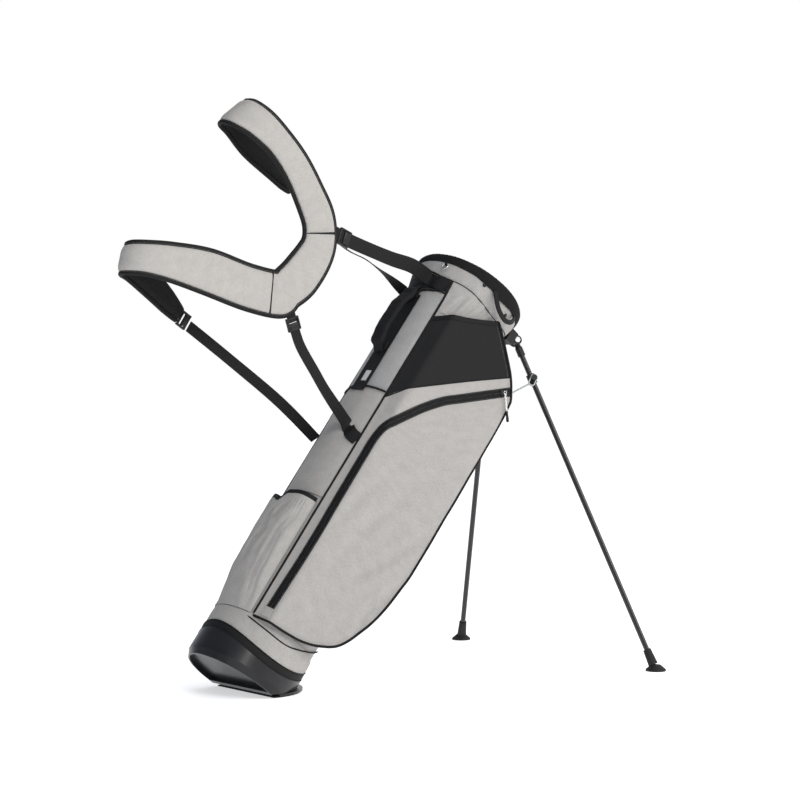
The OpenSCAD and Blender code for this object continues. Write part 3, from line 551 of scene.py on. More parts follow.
def floor():
    bm = bmesh.new()
    bmesh.ops.create_grid(bm, x_segments=1, y_segments=1, size=12.0)
    mat, nt, shader, tex = fabric_nodes("floor", "object")
    nt.links.new(ramp(nt, noise_of(nt, tex, 0.6, 2.0), ((0.3, (0.93, 0.93, 0.93)),
                                                       (0.7, (0.96, 0.96, 0.96)))),
                 shader.inputs["Base Color"])
    shader.inputs["Roughness"].default_value = 0.9
    shader.inputs["Specular IOR Level"].default_value = 0.1
    shader.inputs["Emission Color"].default_value = (1.0, 1.0, 1.0, 1.0)
    shader.inputs["Emission Strength"].default_value = 0.55
    obj = from_bmesh("floor", bm, mat, None)
    obj.location.z = -0.0005


floor()


# ---- hard parts keep their CAD shape ---------------------------------------------
HARD = {
    CUP_PLASTIC: ["base_cup", "foot_plate"],
    PLASTIC: ["rod_guide_lower", "rod_guide_upper", "push_bar", "leg_bracket",
              "leg_top_left", "leg_top_right", "leg_collar_left", "leg_collar_right",
              "top_cuff", "zip_slider"],
    RUBBER: ["foot_tread", "leg_foot_left", "leg_foot_right"],
    STEEL: ["foot_hinge_pin", "push_rod", "pivot_pin_left", "pivot_pin_right", "gear_ring"],
    WIRE: ["spreader_left", "spreader_right"],
    PAINT: ["leg_tube_left", "leg_tube_right"],
    ROD: ["stay_left", "stay_right", "spine_stay"],
}
for material, names in HARD.items():
    for name in names:
        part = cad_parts[name]
        for s in part.material_slots:
            s.link = "OBJECT"
            s.material = material


# ---- body tube -------------------------------------------------------------------
def edge_at(deg, h):
    """Height of the base cup's curved edge, where h is its height at the flanks."""
    r = (TUBE_R ** 2 + CUP_RISE ** 2) / (2 * CUP_RISE)
    return h + r - math.sqrt(r * r - (TUBE_R * math.cos(math.radians(deg)) + CUP_SHIFT) ** 2)


def wall(name, low, high, rows, out, inner, mats, disp=None, first=0, last=360, step=3.0,
         mat_at=None, sharp=50, body="bag"):
    """Part of a tube's wall between the curves low(deg) and high(deg); out(deg, v) is its
    outer radius and inner its inner one; v runs from 0 to 1 up the wall."""
    full = last - first >= 360
    n = int(round((last - first) / step))
    degs = [first + (last - first) * k / n for k in range(n if full else n + 1)]
    loops = []
    for d in degs:
        a, b = low(d), high(d)
        col_out, col_in = [], []
        for k in range(rows + 1):
            v = k / rows
            s = lerp(a, b, v)
            r = out(d, v) + (disp(d, s) if disp else 0)
            col_out.append(tube(d, r, s))
            col_in.append(tube(d, inner(d, v), s))
        loops.append(col_out + col_in[::-1])
    return loft(name, loops, mats, body, ring=full, mat_at=mat_at, sharp=sharp)


FLANK_FOLDS = [((131, 753), (123, 798)), ((117, 763), (109, 807)), ((98, 783), (94, 811))]


def shell_disp(deg, s):
    d = 0.5 * ripple(deg * 1.6, s, 3.0, 60)
    for a, b in FLANK_FOLDS:
        d += fold(deg * 1.64, s, [(a[0] * 1.64, a[1]), (b[0] * 1.64, b[1])], 7.0, 2.6)
    return min(d, 0.9)


def shell_low(deg):
    reach = TUBE_R * math.cos(math.radians(deg)) - HINGE_BACK
    return max(14.0, HINGE_UP + (3.6 + math.sin(LEAN) * reach) / math.cos(LEAN))


body = wall("body_cloth", shell_low, lambda d: SHELL_TOP, 130, lambda d, v: TUBE_R - 0.4,
            lambda d, v: TUBE_R - 3.0, [GREY_TOP, LINING], shell_disp, step=2.5,
            mat_at=lambda i, j: 0 if j < 131 else 1)
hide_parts("body_shell")


def round_band(name, low, high, out, inner, mats, node, disp=None, rows=8, step=2.5):
    def profile(d, v):
        return out + 0.5 * math.sin(math.pi * v)
    obj = wall(name, low, high, rows, profile, lambda d, v: inner, mats, disp, step=step)
    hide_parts(node)
    return obj


round_band("lower_band_cloth", lambda d: edge_at(d, CUP_SIDE + TRIM_H) + 0.4,
           lambda d: BAND_TOP - 1, 95.7, TUBE_R + 0.3, [GREY], "lower_band",
           lambda d, s: 0.35 * ripple(d * 1.64, s, 0, 22))
round_band("trim_tape", lambda d: edge_at(d, CUP_SIDE) + 0.4,
           lambda d: edge_at(d, CUP_SIDE + TRIM_H), 96.2, TUBE_R + 0.3, [WEB], "base_trim")


def ring_line(name, path, r, radius, mat, body="bag", step=3.0):
    """A cord on the tube's wall along (deg, s) points."""
    pts = [tube(d, r, s) for d, s in smooth(path, step)]
    return sweep(name, pts, radius, mat, body, sides=8)


ring_line("band_seam", [(147, 90), (128, 84), (100, 80), (77, 91), (35, 121)], 95.8, 1.4, PIPING)
for name, h in (("trim_seam_low", CUP_SIDE + 1.2), ("trim_seam_high", CUP_SIDE + TRIM_H)):
    pts = [tube(d, 96.6, edge_at(d, h)) for d in range(0, 361, 4)]
    sweep(name, pts, 0.9, PIPING, sides=8)

# ---- spine -----------------------------------------------------------------------
SPINE_FOLD = [(193, 580), (182, 700), (187, 762)]


def spine_disp(deg, s):
    d = 0.7 * ripple(deg * 1.64, s, 7.0, 46)
    d += fold(deg * 1.64, s, [(a * 1.64, b) for a, b in SPINE_FOLD], 9.0, 1.2)
    d += 1.1 * math.sin(math.pi * min(max((s - SPINE_SEAM) / 210, 0), 1))
    d -= 1.4 * math.exp(-((s - SPINE_SEAM) / 5) ** 2)
    edge = min(deg - SPINE_LEFT, SPINE_RIGHT - deg)
    return d * min(1, edge / 4)


# above the seam the spine's outer face takes the darker, cooler copy of the grey cloth as painted shade;
# below the seam and inside, it takes the plain grey
spine = wall("spine_cloth", lambda d: BOTTLE_TOP + 4, lambda d: CUFF_LOW - 2, 92,
             lambda d, v: PANEL_R - 0.3, lambda d, v: TUBE_R + 0.3, [GREY_PAINTED_SHADE, GREY],
             spine_disp, SPINE_LEFT, SPINE_RIGHT, 1.5,
             mat_at=lambda i, j: 0 if 45 <= j < 92 else 1)
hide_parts("spine_panel")
ring_line("spine_seam", [(143, 566), (162, 566), (187, 566), (206, 561), (217, 559)], 97.0, 1.8,
          PIPING)
ring_line("spine_edge_left", [(SPINE_LEFT, 98), (SPINE_LEFT, 450), (SPINE_LEFT, 812)], 95.2, 2.3,
          PIPING)
ring_line("spine_edge_right", [(SPINE_RIGHT, 98), (SPINE_RIGHT, 450), (SPINE_RIGHT, 803)], 95.2,
          2.3, PIPING)


def tube_strap(name, path, widths, r, thick, mat, lift=None, step=4.0, body="bag"):
    """Webbing on the tube's wall along (deg, s) points, flat on the surface."""
    p = smooth(path, step)
    pts, sides = [], []
    for i, (d, s) in enumerate(p):
        t = i / (len(p) - 1)
        pts.append(tube(d, r + (lift(t) if lift else 0), s))
        a = p[min(i + 1, len(p) - 1)] - p[max(i - 1, 0)]
        a = a / math.hypot(a[0] * 1.64, a[1])
        out = tube(d, 1000, s) - tube(d, 0, s)
        along = tube(d + a[0] * 0.5, r, s + a[1] * 0.5) - tube(d, r, s)
        sides.append(along.cross(out).normalized())
    w = [soft_table(widths, i / (len(p) - 1)) for i in range(len(p))]
    return strap(name, pts, sides, w, thick, mat, body)


web = tube_strap("spine_web", [(179, 771), (179, 660), (179, 556)], [(0, 35), (1, 35)], 98.0,
                 1.7, WEB)
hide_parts("spine_webbing")
for d in (170.0, 188.0):
    stitches("spine_web_stitch_%d" % d, [tube(d, 99.0, s) for s in (768, 660, 559)], THREAD_GREY,
             r=0.2)
for s in (560.0, 764.0):
    stitches("spine_web_bar_%d" % s, [tube(d, 99.0, s) for d in (170, 179, 188)], THREAD_GREY,
             r=0.22)

label = wall("label_cloth", lambda d: 575.4, lambda d: 597.6, 8,
             lambda d, v: 99.4, lambda d, v: 98.9, [LABEL], None, 173, 181, 1.0)
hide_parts("blank_label")
stitches("label_stitch", [tube(a, 99.5, b) for a, b in
                          ((173.8, 577), (180.2, 577), (180.2, 596), (173.8, 596), (173.8, 577))],
         THREAD_GREY, pitch=2.6, long=1.7, r=0.16)


def handle():
    """Padded grip that stands off the webbing, with flat sewn ends."""
    pts, sides, wide, deep = [], [], [], []
    top, low, n = BAG_LEN - 152 + 68, BAG_LEN - 152 - 68, 56
    for k in range(n + 1):
        v = k / n
        s = lerp(low - 6, top + 10, v)
        lift = soft_table(((0, 0), (0.06, 9), (0.1, 15), (0.3, 19.5), (0.6, 18.5), (0.85, 9),
                           (1, 1)), v)
        pts.append(tube(179, 98.6 + 3.0 + lift, s))
        sides.append(tube(180, 98, s) - tube(178, 98, s))
        body_w = soft_table(((0, 0), (0.05, 0), (0.085, 1), (0.88, 1), (0.93, 0), (1, 0)), v)
        wide.append(lerp(25, 31, body_w) - 1.6 * math.sin(math.pi * v * 9) * body_w * 0.5)
        deep.append(lerp(2.4, 12.5, body_w) + 0.5 * math.sin(v * 61) * body_w)
    return strap("handle_grip", pts, sides, wide, deep, SPACER, square=0.62, count=24)


grip = handle()
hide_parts("carry_handle")
for k, s in enumerate((653.0, 773.0)):
    block("handle_end_%d" % k, tube(179, 101.0, s), (13.6, 8.5, 1.5),
          (tube(180, 98, s) - tube(178, 98, s), tube(179, 98, s + 1) - tube(179, 98, s),
           tube(179, 99, s) - tube(179, 98, s)), 1.2, WEB)

# ---- top -------------------------------------------------------------------------
CUFF = ((752, TUBE_R + 0.2), (778, TUBE_R + 1.2), (CUFF_LOW, TUBE_R + 3.6),
        (CUFF_LOW + 36, TUBE_R + CUFF_FLARE + 1.5), (BAG_LEN - 19, TUBE_R + CUFF_FLARE + 1.5))
CUFF_SEAM = [(215, 819), (175, 819), (147, 817), (122, 815), (87, 804), (60, 808), (35, 816),
             (0, 818), (-35, 816), (-87, 804), (-122, 815), (-145, 818)]


def cuff_disp(deg, s):
    turn = deg if deg <= 215 else deg - 360
    d = 0.3 * ripple(turn * 1.7, s, 2.0, 18)
    dist, where = line_distance(turn * 1.64, s, [(a * 1.64, b) for a, b in CUFF_SEAM])
    d -= 0.5 * math.exp(-(dist / 1.6) ** 2)
    if s < 815:
        for a, b in FLANK_FOLDS:
            d += fold(turn * 1.64, s, [(a[0] * 1.64, a[1]), (b[0] * 1.64, b[1])], 5.0, 2.8)
    return d


def cuff_at(d, v):
    return table_at(CUFF, lerp(752, BAG_LEN - 19.2, v))


cuff = wall("cuff_cloth", lambda d: 752, lambda d: BAG_LEN - 19.2, 48, cuff_at,
            lambda d, v: cuff_at(d, v) - 1.1, [GREY_TOP], cuff_disp, step=1.5)
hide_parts("cuff_band")
seam = [tube(d, table_at(CUFF, s) + 0.25, s) for d, s in smooth(CUFF_SEAM, 3)]
sweep("cuff_seam", seam, 0.8, THREAD, sides=8)
stitches("cuff_stitch", [tube(d, table_at(CUFF, s + 3) + 0.4, s + 3)
                         for d, s in smooth(CUFF_SEAM, 3)], THREAD_GREY, r=0.17)


# the rim's cloth comes down over the cuff's upper edge
RIM_EDGE = [(0, 845), (35, 844), (66, 838), (94, 833), (106, 838), (130, 843), (154, 845),
            (190, 847), (230, 845), (266, 838), (320, 844), (360, 845)]


def rim_lip_out(deg, v):
    return TUBE_R + 12.2 + 2.4 * math.sin(math.pi * (0.12 + 0.62 * v)) + 0.3 * ripple(
        deg * 1.8, v * 20, 6, 16)


lip = wall("rim_lip", lambda d: soft_table(RIM_EDGE, d), lambda d: BAG_LEN - 6.5, 12, rim_lip_out,
           lambda d, v: TUBE_R + 11.8 - 2.6 * max(0, v - 0.5), [FOAM], None, step=2.0)
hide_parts("rim_pad")


def rim():
    loops = []
    for k in range(180):
        d = 2.0 * k
        loop = []
        for j in range(32):
            a = 2 * math.pi * j / 32
            r = 8.9 + 0.25 * math.sin(d * 1.3 + 2 * a) + 0.3 * ripple(d, 9 * a, 4.0, 14)
            rad = TUBE_R + 5.3 + r * math.cos(a)
            s = BAG_LEN - 9 + r * math.sin(a)
            if s < CUFF_TOP + 0.3:
                flat = min(1.0, (CUFF_TOP + 0.3 - s) / 3)
                s = lerp(s, CUFF_TOP + 0.3, flat if abs(rad - 98) < 6.5 else 0)
            loop.append(tube(d, rad, s))
        loops.append(loop)
    return loft("rim_cushion", loops, FOAM, ring=True, sharp=70)


rim_pad = rim()
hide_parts("rim_pad")


def divider_bar(name, turn, mats):
    """One padded bar of the club divider, rounded on top."""
    half, w, h = TUBE_R - 6.4, 9.0, 25.6
    loops = []
    for k in range(61):
        x = lerp(-half, half, k / 60)
        low, high = CUFF_TOP - h, CUFF_TOP - 0.4
        shape = []
        for j in range(24):
            a = 2 * math.pi * (j + 0.5) / 24
            px = math.copysign(abs(math.cos(a)) ** 0.45, math.cos(a)) * w / 2
            ps = math.copysign(abs(math.sin(a)) ** 0.3, math.sin(a)) * h / 2 + (low + high) / 2
            px += 0.35 * ripple(x, ps, turn * 9, 9)
            shape.append(bag(x, px, ps) if turn == 0 else bag(px, x, ps))
        loops.append(shape)
    return loft(name, loops, mats, sharp=60)


bars = [divider_bar("divider_bar_long", 0, BLACK_CLOTH), divider_bar("divider_bar_cross", 1,
                                                                     BLACK_CLOTH)]
for b in bars:
    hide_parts("club_divider")

DIV_LOW = HINGE_UP + (TUBE_R - 3 - HINGE_BACK) * math.tan(LEAN) + 10
inner_wall = block("divider_cloth", bag(1, 0, (DIV_LOW + CUFF_TOP - 26.6) / 2),
                   (TUBE_R - 8, 0.8, (CUFF_TOP - 26.6 - DIV_LOW) / 2),
                   (bag(1, 0, 0) - bag(0, 0, 0), Vector((0, 1, 0)), bag(0, 0, 1) - bag(0, 0, 0)),
                   0.6, LINING)
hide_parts("full_divider")

# grab loop, rivets and ring tab on the cuff
LOOP = [(101, 840), (99, 832), (95, 821), (89, 812), (81, 808), (74, 811), (68, 819), (64, 829),
        (63, 838)]


def loop_lift(t):
    return 9.5 * math.sin(math.pi * min(max(t, 0), 1)) ** 0.6


loop = tube_strap("grab_loop", LOOP, [(0, 9), (1, 9)], 107.6, 3.4, WEB, loop_lift, 3.0)
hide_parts("lift_handle")
for k, (d, s) in enumerate(((113, 838), (72, 826))):
    out = tube(d, 1000, s) - tube(d, 0, s)
    lathe("rivet_%d" % k, [(0.2, 1.5), (1.6, 1.4), (3.2, 0.9), (3.8, 0.2), (3.8, -1.0), (0.2, -1.0)],
          tube(d, table_at(CUFF, s) + 0.4, s), out, PLASTIC, "bag", 24)

TAB_DEG, TAB_S = 156.0, BAG_LEN - 25
tab_out = (tube(TAB_DEG, 100, TAB_S) - tube(TAB_DEG, 99, TAB_S)).normalized()
tab_up = (tube(TAB_DEG, 100, TAB_S + 1) - tube(TAB_DEG, 100, TAB_S)).normalized()
tab_side = tab_out.cross(tab_up)
fold_pts = []
for r, s in ((106.6, 1), (108.6, -2.4), (111, -3.4), (113.4, -2.4), (114.4, 0), (113.4, 2.6),
             (111, 4.2), (108.4, 5.4), (106.8, 8)):
    fold_pts.append(tube(TAB_DEG, r, TAB_S + s))
tab = strap("ring_tab_web", [Vector(p) for p in smooth([tuple(q) for q in fold_pts], 0.0012)],
            [tab_side] * 200, 4.4, 1.1, WEB)
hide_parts("ring_tab")

# ---- hip pad and linkage side ----------------------------------------------------
PAD_LOW, PAD_HIGH = 150.0, BAG_LEN - 342.6


def hip_disp(deg, s):
    d = 0.6 * ripple(deg * 1.64, s, 1.0, 24)
    for line in (210, 280, 350, 420, 480):
        d -= 2.2 * math.exp(-((s - line) / 3.5) ** 2)
    return d


def hip_half(name, first, last):
    def out(deg, v):
        across = (deg - first) / (last - first)
        a = math.sin(math.pi * min(max(across, 0.03), 0.97)) ** 0.45
        b = math.sin(math.pi * min(max(v, 0.006), 0.994)) ** 0.3
        return TUBE_R + 1.6 + 9.0 * a * b
    return wall(name, lambda d: PAD_LOW + 1, lambda d: PAD_HIGH - 1, 90, out,
                lambda d, v: TUBE_R + 0.4, [SPACER], hip_disp, first, last, 1.3)


for name, a, b in (("hip_pad_right", -21.7, -3.6), ("hip_pad_left", 3.6, 21.7)):
    pad = hip_half(name, a, b)
    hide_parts("hip_pad")


# ---- flank pocket ----------------------------------------------------------------
def flat_polar(deg, r):
    a = math.radians(deg)
    return np.array([r * math.cos(a), -r * math.sin(a)])


def section_of(root, first, second, foot, r1, r2):
    """Section across a pouch as rows (w, n, y): w is 0 at its first corner."""
    def arc(a, b, c, r, steps=10):
        u, v = (a - b) / np.linalg.norm(a - b), (c - b) / np.linalg.norm(c - b)
        half = math.acos(float(u @ v)) / 2
        m = (u + v) / np.linalg.norm(u + v)
        o, reach = b + m * r / math.sin(half), r / math.tan(half)
        p, q = b + u * reach, b + v * reach
        pts = []
        for k in range(steps + 1):
            d = (p - o) * (steps - k) + (q - o) * k
            pts.append(o + d / np.linalg.norm(d) * r)
        return pts, reach
    width = float(np.linalg.norm(second - first))
    rows = [(-float(np.linalg.norm(first - root)), root)]
    for corner, at, pair in ((first, 0.0, (root, second, r1)),
                             (second, width, (first, foot, r2))):
        pts, reach = arc(pair[0], corner, pair[1], pair[2])
        rows += [(at - reach + 2 * reach * k / 10, p) for k, p in enumerate(pts)]
    rows.append((width + float(np.linalg.norm(foot - second)), foot))
    w = np.array([r[0] for r in rows])
    p = np.array([r[1] for r in rows])
    return w, p, width


class Pouch:
    def __init__(self, root, first, second, foot, r1=8, r2=14, disp=None):
        self.w, self.p, self.width = section_of(root, first, second, foot, r1, r2)
        self.disp = disp
        self.turn = 1 if second[1] < 0 else -1

    def normal(self, w):
        a = np.array([np.interp(w - 2, self.w, self.p[:, k]) for k in (0, 1)])
        b = np.array([np.interp(w + 2, self.w, self.p[:, k]) for k in (0, 1)])
        t = (b - a) / np.linalg.norm(b - a)
        return np.array([t[1], -t[0]]) * self.turn

    def at(self, w, s, out=0.0, plain=False):
        n, y = (np.interp(w, self.w, self.p[:, k]) for k in (0, 1))
        m = self.normal(w)
        if self.disp and not plain:
            out += self.disp(w, s)
        return bag(n + m[0] * out, y + m[1] * out, s)


FACE_FOLDS = [
    ([(60, 477), (26, 375), (4, 284)], 9, 1.6), ([(104, 456), (63, 338), (33, 213)], 10, 1.5),
    ([(158, 369), (129, 314), (98, 263), (82, 240)], 9, 3.4),
    ([(171, 282), (152, 241), (137, 201), (143, 163)], 8, 3.4),
    ([(52, 560), (84, 590), (120, 596)], 8, 1.0), ([(20, 180), (60, 150), (104, 148)], 9, 1.3)]
ZIP = [(164.6, 701), (139, 677), (113, 652.5), (87, 628), (64, 606), (40, 575), (22, 547), (7, 522),
       (-5, 501), (-10, 474), (-10.5, 440), (-10.5, 399), (-10, 343), (-9.5, 242), (-13.5, 118)]
FACE_W = 183.6


def face_disp(w, s):
    inside = min(max(min(w + 26, FACE_W - 4 - w, s - 92, 800 - s) / 34, 0), 1)
    d = 3.0 * inside + 0.6 * ripple(w, s, 5.0, 45)
    dz, _ = line_distance(w, s, ZIP)
    d -= 2.2 * inside * math.exp(-(dz / 17) ** 2)
    if s < 600:
        for line, width, depth in FACE_FOLDS:
            d += fold(w, s, line, width, depth) * min(1, dz / 14)
    return d


pouch = Pouch(flat_polar(143, 95.6), np.array([-59.9, -89.9]), np.array([115.4, -144.6]),
              flat_polar(37, 95.6), 8, 4, disp=face_disp)
ROOT_W = float(pouch.w[0])


def path_at(points, t):
    """Catmull-Rom by index."""
    n = len(points) - 1
    i = min(int(t), n - 1)
    f = t - i
    a, b, c, d = (np.array(points[k], float) for k in
                  (max(i - 1, 0), i, i + 1, min(i + 2, n)))
    return (b + (c - a) * f / 2 + (2 * a - 5 * b + 4 * c - d) * f * f / 2
            + (3 * b - a - 3 * c + d) * f ** 3 / 2)


def patch(name, left, right, step, cols, mats, surface, out=0.0, thick=1.3, mat_at=None,
          body="bag"):
    """Cloth on a pouch between two curves of (w, s) with as many points."""
    n = len(left) - 1
    run = max(np.linalg.norm(np.diff(np.array(left, float), axis=0), axis=1).sum(),
              np.linalg.norm(np.diff(np.array(right, float), axis=0), axis=1).sum())
    rows = max(3, int(run / step))
    loops = []
    for i in range(rows + 1):
        t = n * i / rows
        a, b = path_at(left, t), path_at(right, t)
        outer, inner = [], []
        for k in range(cols + 1):
            w, s = a + (b - a) * k / cols
            w = max(w, ROOT_W + 0.2) if surface is pouch else w
            outer.append(surface.at(w, s, out))
            inner.append(surface.at(w, s, out - thick))
        loops.append(outer + inner[::-1])
    return loft(name, loops, mats, body, mat_at=mat_at, sharp=60)


BACK_EDGE = [(-36, 95), (-36, 118), (-36, 180), (-36, 242), (-36, 343), (-36, 440), (-36, 520),
             (-36, 556), (9, 597), (54, 638), (101, 680), (152, 724)]
ZIP_EDGE = [(-14, 94.5), (-13.5, 118), (-11, 180), (-9.5, 242), (-10, 343), (-10.5, 440),
            (-5, 501), (7, 522), (40, 575), (87, 628), (122, 661), (166, 702)]
LOWER_LEFT = [(-14, 94.6), (-13.5, 118), (-12, 150), (-11, 180), (-9.5, 242), (-10, 300),
              (-10, 343), (-10.5, 399), (-10.5, 440), (-5, 501), (7, 522), (40, 575), (87, 628),
              (122, 661), (145, 683), (165, 703)]
LOWER_RIGHT = [(26, 95), (66, 99), (97, 110), (126, 131), (148, 175), (160, 213), (168, 255),
               (175, 310), (179, 390), (181, 470), (182.5, 541), (183.3, 600), (183, 640),
               (180, 664), (176, 680), (167, 702)]
MESH_LOW = [(-36, 556), (9, 597), (54, 638), (101, 680), (152, 724)]
MESH_TOP = [(-36, 738), (-8, 750), (24, 765), (50, 780), (78, 798)]

lower = patch("pocket_front", LOWER_LEFT, LOWER_RIGHT, 4.0, 52, [GREY], pouch)
upper = patch("pocket_upper", BACK_EDGE, ZIP_EDGE, 4.0, 16, [GREY], pouch)
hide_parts("side_pocket")
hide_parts("pocket_yoke")
mesh_panel = patch("mesh_front", MESH_LOW, MESH_TOP, 4.0, 40, [MESH], pouch, thick=1.0)
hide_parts("mesh_pocket")


def inset(points, by):
    return [(w, s - by) for w, s in points]


patch("mesh_top_band", inset(MESH_TOP, 10), MESH_TOP, 4.0, 6, [WEB], pouch, 0.9, 2.6)
patch("mesh_low_band", inset(MESH_LOW, 1.5), inset(MESH_LOW, -1.5), 4.0, 3, [PIPING], pouch, 0.6, 1.5)

GUSSET = [((-36, 95), (143, 91)), ((-14, 94.4), (128, 93)), ((10, 94.4), (113, 94.5)),
          ((38, 95.6), (100, 95.5)), ((66, 99), (87, 99)), ((97, 110), (72, 107)),
          ((126, 131), (60, 128)), ((148, 175), (48, 172)), ((163, 225), (41, 222)),
          ((174, 300), (37.5, 298)), ((179.5, 400), (37.5, 400)), ((182.5, 541), (37.5, 541)),
          ((183.4, 610), (37.5, 610)), ((182.5, 648), (38, 650)), ((176, 681), (41, 684)),
          ((166, 702), (45, 706)), ((150, 724), (51, 728)), ((115, 761), (64, 765)),
          ((78, 798), (80, 801))]


def gusset():
    loops = []
    n = len(GUSSET) - 1
    rows = 190
    for i in range(rows + 1):
        t = n * i / rows
        w, s = path_at([g[0] for g in GUSSET], t)
        d, foot = path_at([g[1] for g in GUSSET], t)
        w = max(w, ROOT_W + 0.4)
        top, low = pouch.at(w, s, -0.6), tube(d, 95.0, foot)
        span = (top - low).length / MM
        out = (top - pouch.at(min(w, FACE_W) - 12, s + 0.01, -0.6))
        way = (pouch.at(w, s + 1, 0, True) - pouch.at(w, s, 0, True)).normalized()
        a = path_at([g[0] for g in GUSSET], min(t + 0.05, n)) - path_at(
            [g[0] for g in GUSSET], max(t - 0.05, 0))
        away = np.array([a[1], -a[0]]) / np.linalg.norm(a)
        side = (pouch.at(w + 2, s, 0, True) - pouch.at(w - 2, s, 0, True)).normalized()
        away = side * away[0] + way * away[1]
        outer, inner = [], []
        for k in range(13):
            v = k / 12
            puff = (2.2 * math.sin(math.pi * v) + 1.2 * ripple(t * 30, v * 50, 2.0, 16) *
                    math.sin(math.pi * v)) * min(1, span / 40)
            p = top.lerp(low, v) + away * puff * MM
            outer.append(p)
            inner.append(p - away * 1.2 * MM)
        loops.append(outer + inner[::-1])
    return loft("pocket_gusset", loops, GREY, sharp=60)


wall_cloth = gusset()
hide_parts("side_pocket")
edge_line = smooth([g[0] for g in GUSSET], 3.0)
sweep("pocket_piping", [pouch.at(max(w, ROOT_W + 0.5), s, 0.2) for w, s in edge_line], 2.3, PIPING,
      sides=10)
inner_edge = shifted([g[0] for g in GUSSET], -6.0)
stitches("pocket_stitch", [pouch.at(max(w, ROOT_W + 4), s, 0.2)
                           for w, s in smooth(inner_edge, 3.0)], THREAD_GREY, pitch=3.6, r=0.16)

# zip: two tapes, a coil of teeth, an end tab
ZIP_LINE = smooth(ZIP, 2.0)


def band(name, line, a, b, mat, out, thick, body="bag"):
    p, q = shifted(line, a), shifted(line, b)
    loops = []
    for i in range(len(p)):
        outer = [pouch.at(*(p[i] + (q[i] - p[i]) * k / 4), out + 0.25 * math.sin(math.pi * k / 4))
                 for k in range(5)]
        inner = [pouch.at(*(p[i] + (q[i] - p[i]) * k / 4), out - thick) for k in range(5)]
        loops.append(outer + inner[::-1])
    return loft(name, loops, mat, body, sharp=50)


tape = band("zip_tape_left", ZIP_LINE, -8.2, -0.9, TAPE, 0.8, 1.4)
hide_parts("zip_tape")
other = band("zip_tape_right", ZIP_LINE, 0.9, 8.2, TAPE, 0.8, 1.4)
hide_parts("zip_tape")
for k, by in enumerate((-6.8, 6.8)):
    stitches("zip_stitch_%d" % k, [pouch.at(w, s, 1.15) for w, s in shifted(ZIP_LINE, by)], THREAD_GREY,
             pitch=3.0, long=1.9, r=0.14)


def teeth(name, line, surface, out, mat, pitch=1.7, half=2.4, r=0.62):
    p = resample(line, pitch)
    verts, faces, uvs = [], [], []
    for i in range(1, len(p) - 1):
        a, b = surface.at(*p[i - 1], out), surface.at(*p[i + 1], out)
        q = surface.at(*p[i], out)
        t = (b - a).normalized()
        up = (surface.at(*p[i], out + 1) - q).normalized()
        side = t.cross(up)
        base = len(verts)
        for x, k in ((-half, 0.5), (-half * 0.7, 1), (half * 0.7, 1), (half, 0.5)):
            for j in range(6):
                g = math.pi * j / 3
                verts.append(q + side * x * MM + (t * math.cos(g) + up * math.sin(g)) * r * k * MM)
        for e in range(3):
            for j in range(6):
                m = (j + 1) % 6
                faces.append((base + e * 6 + j, base + e * 6 + m, base + e * 6 + 6 + m,
                              base + e * 6 + 6 + j))
        faces.append(tuple(base + j for j in range(6))[::-1])
        faces.append(tuple(base + 18 + j for j in range(6)))
        uvs += [((0, 0),) * 4] * 18 + [((0, 0),) * 6] * 2
    return finish_mesh(name, verts, faces, uvs, [mat], [0] * len(faces), "bag")


teeth("zip_teeth", ZIP_LINE, pouch, 0.9, COIL)
tab_line = smooth([(-13.5, 118), (-14.0, 108), (-14.6, 100)], 2.0)
band("zip_end_tab", tab_line, -7.5, 7.5, GREY, 1.4, 1.8)

# zip puller: an eye on the slider's post, a cord and a moulded tip
face_out = (pouch.at(90, 400, 1, True) - pouch.at(90, 400, 0, True)).normalized()
face_right = (pouch.at(120, 400, 0, True) - pouch.at(60, 400, 0, True)).normalized()
run_dir = Vector((62 - 164.6, 604 - 701)).normalized()
slider_w, slider_s = 164.6 + run_dir.x * 14, 701 + run_dir.y * 14
bag_up = (bag(0, 0, 1) - bag(0, 0, 0)).normalized()
face_zero = bag(-59.9, -89.9, 0)
eye = face_zero + face_right * slider_w * MM + bag_up * slider_s * MM + face_out * 6.1 * MM
hang = (Vector((0, 0, -1)) - face_out * Vector((0, 0, -1)).dot(face_out)).normalized()


def torus(name, at, normal, radius, thick, mat, body):
    a = normal.cross(Vector((0, 0, 1))).normalized()
    b = normal.cross(a)
    loops = []
    for k in range(24):
        g = 2 * math.pi * k / 24
        d = a * math.cos(g) + b * math.sin(g)
        loops.append([at + d * (radius + thick * math.cos(h)) * MM + normal * thick * math.sin(h) * MM
                      for h in (2 * math.pi * j / 10 for j in range(10))])
    return loft(name, loops, mat, body, ring=True, sharp=70)


eye_ring = torus("puller_eye", eye, face_out, 2.2, 0.75, STEEL, "zip_puller")
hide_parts("zip_puller")
for k, by in enumerate((-1.0, 1.0)):
    pts = []
    for j in range(40):
        v = j / 39
        g = v * 15 + k * math.pi
        spread = 1.0 if 0.1 < v else 1.65 - 6.5 * v
        pts.append(eye + hang * lerp(2.0, 35, v) * MM
                   + (face_right * math.cos(g) + face_out * math.sin(g)) * spread * MM)
    sweep("puller_cord_%d" % k, pts, 1.15, CORD, "zip_puller", sides=8, ends=0.8)
lathe("puller_tip", [(0.3, 0), (1.5, 0.5), (2.1, 2.5), (2.3, 8), (2.6, 14), (2.7, 19), (2.0, 21),
                     (0.3, 21.4)], eye + hang * 33 * MM, hang, RUBBER, "zip_puller", 20)

# ---- pockets on the other flank --------------------------------------------------
BALL_LOW, BALL_LEN, BALL_OUT = 112.0, 300.0, 60.0
FAR_LOW = BALL_LOW + BALL_LEN + 14


def puffy(w, s, low, high, width, depth):
    inside = min(max(min(w + 18, width + 20 - w, s - low, high - s) / 30, 0), 1)
    return depth * (inside - 1) + 0.8 * ripple(w, s, 11, 40) + 1.2 * inside


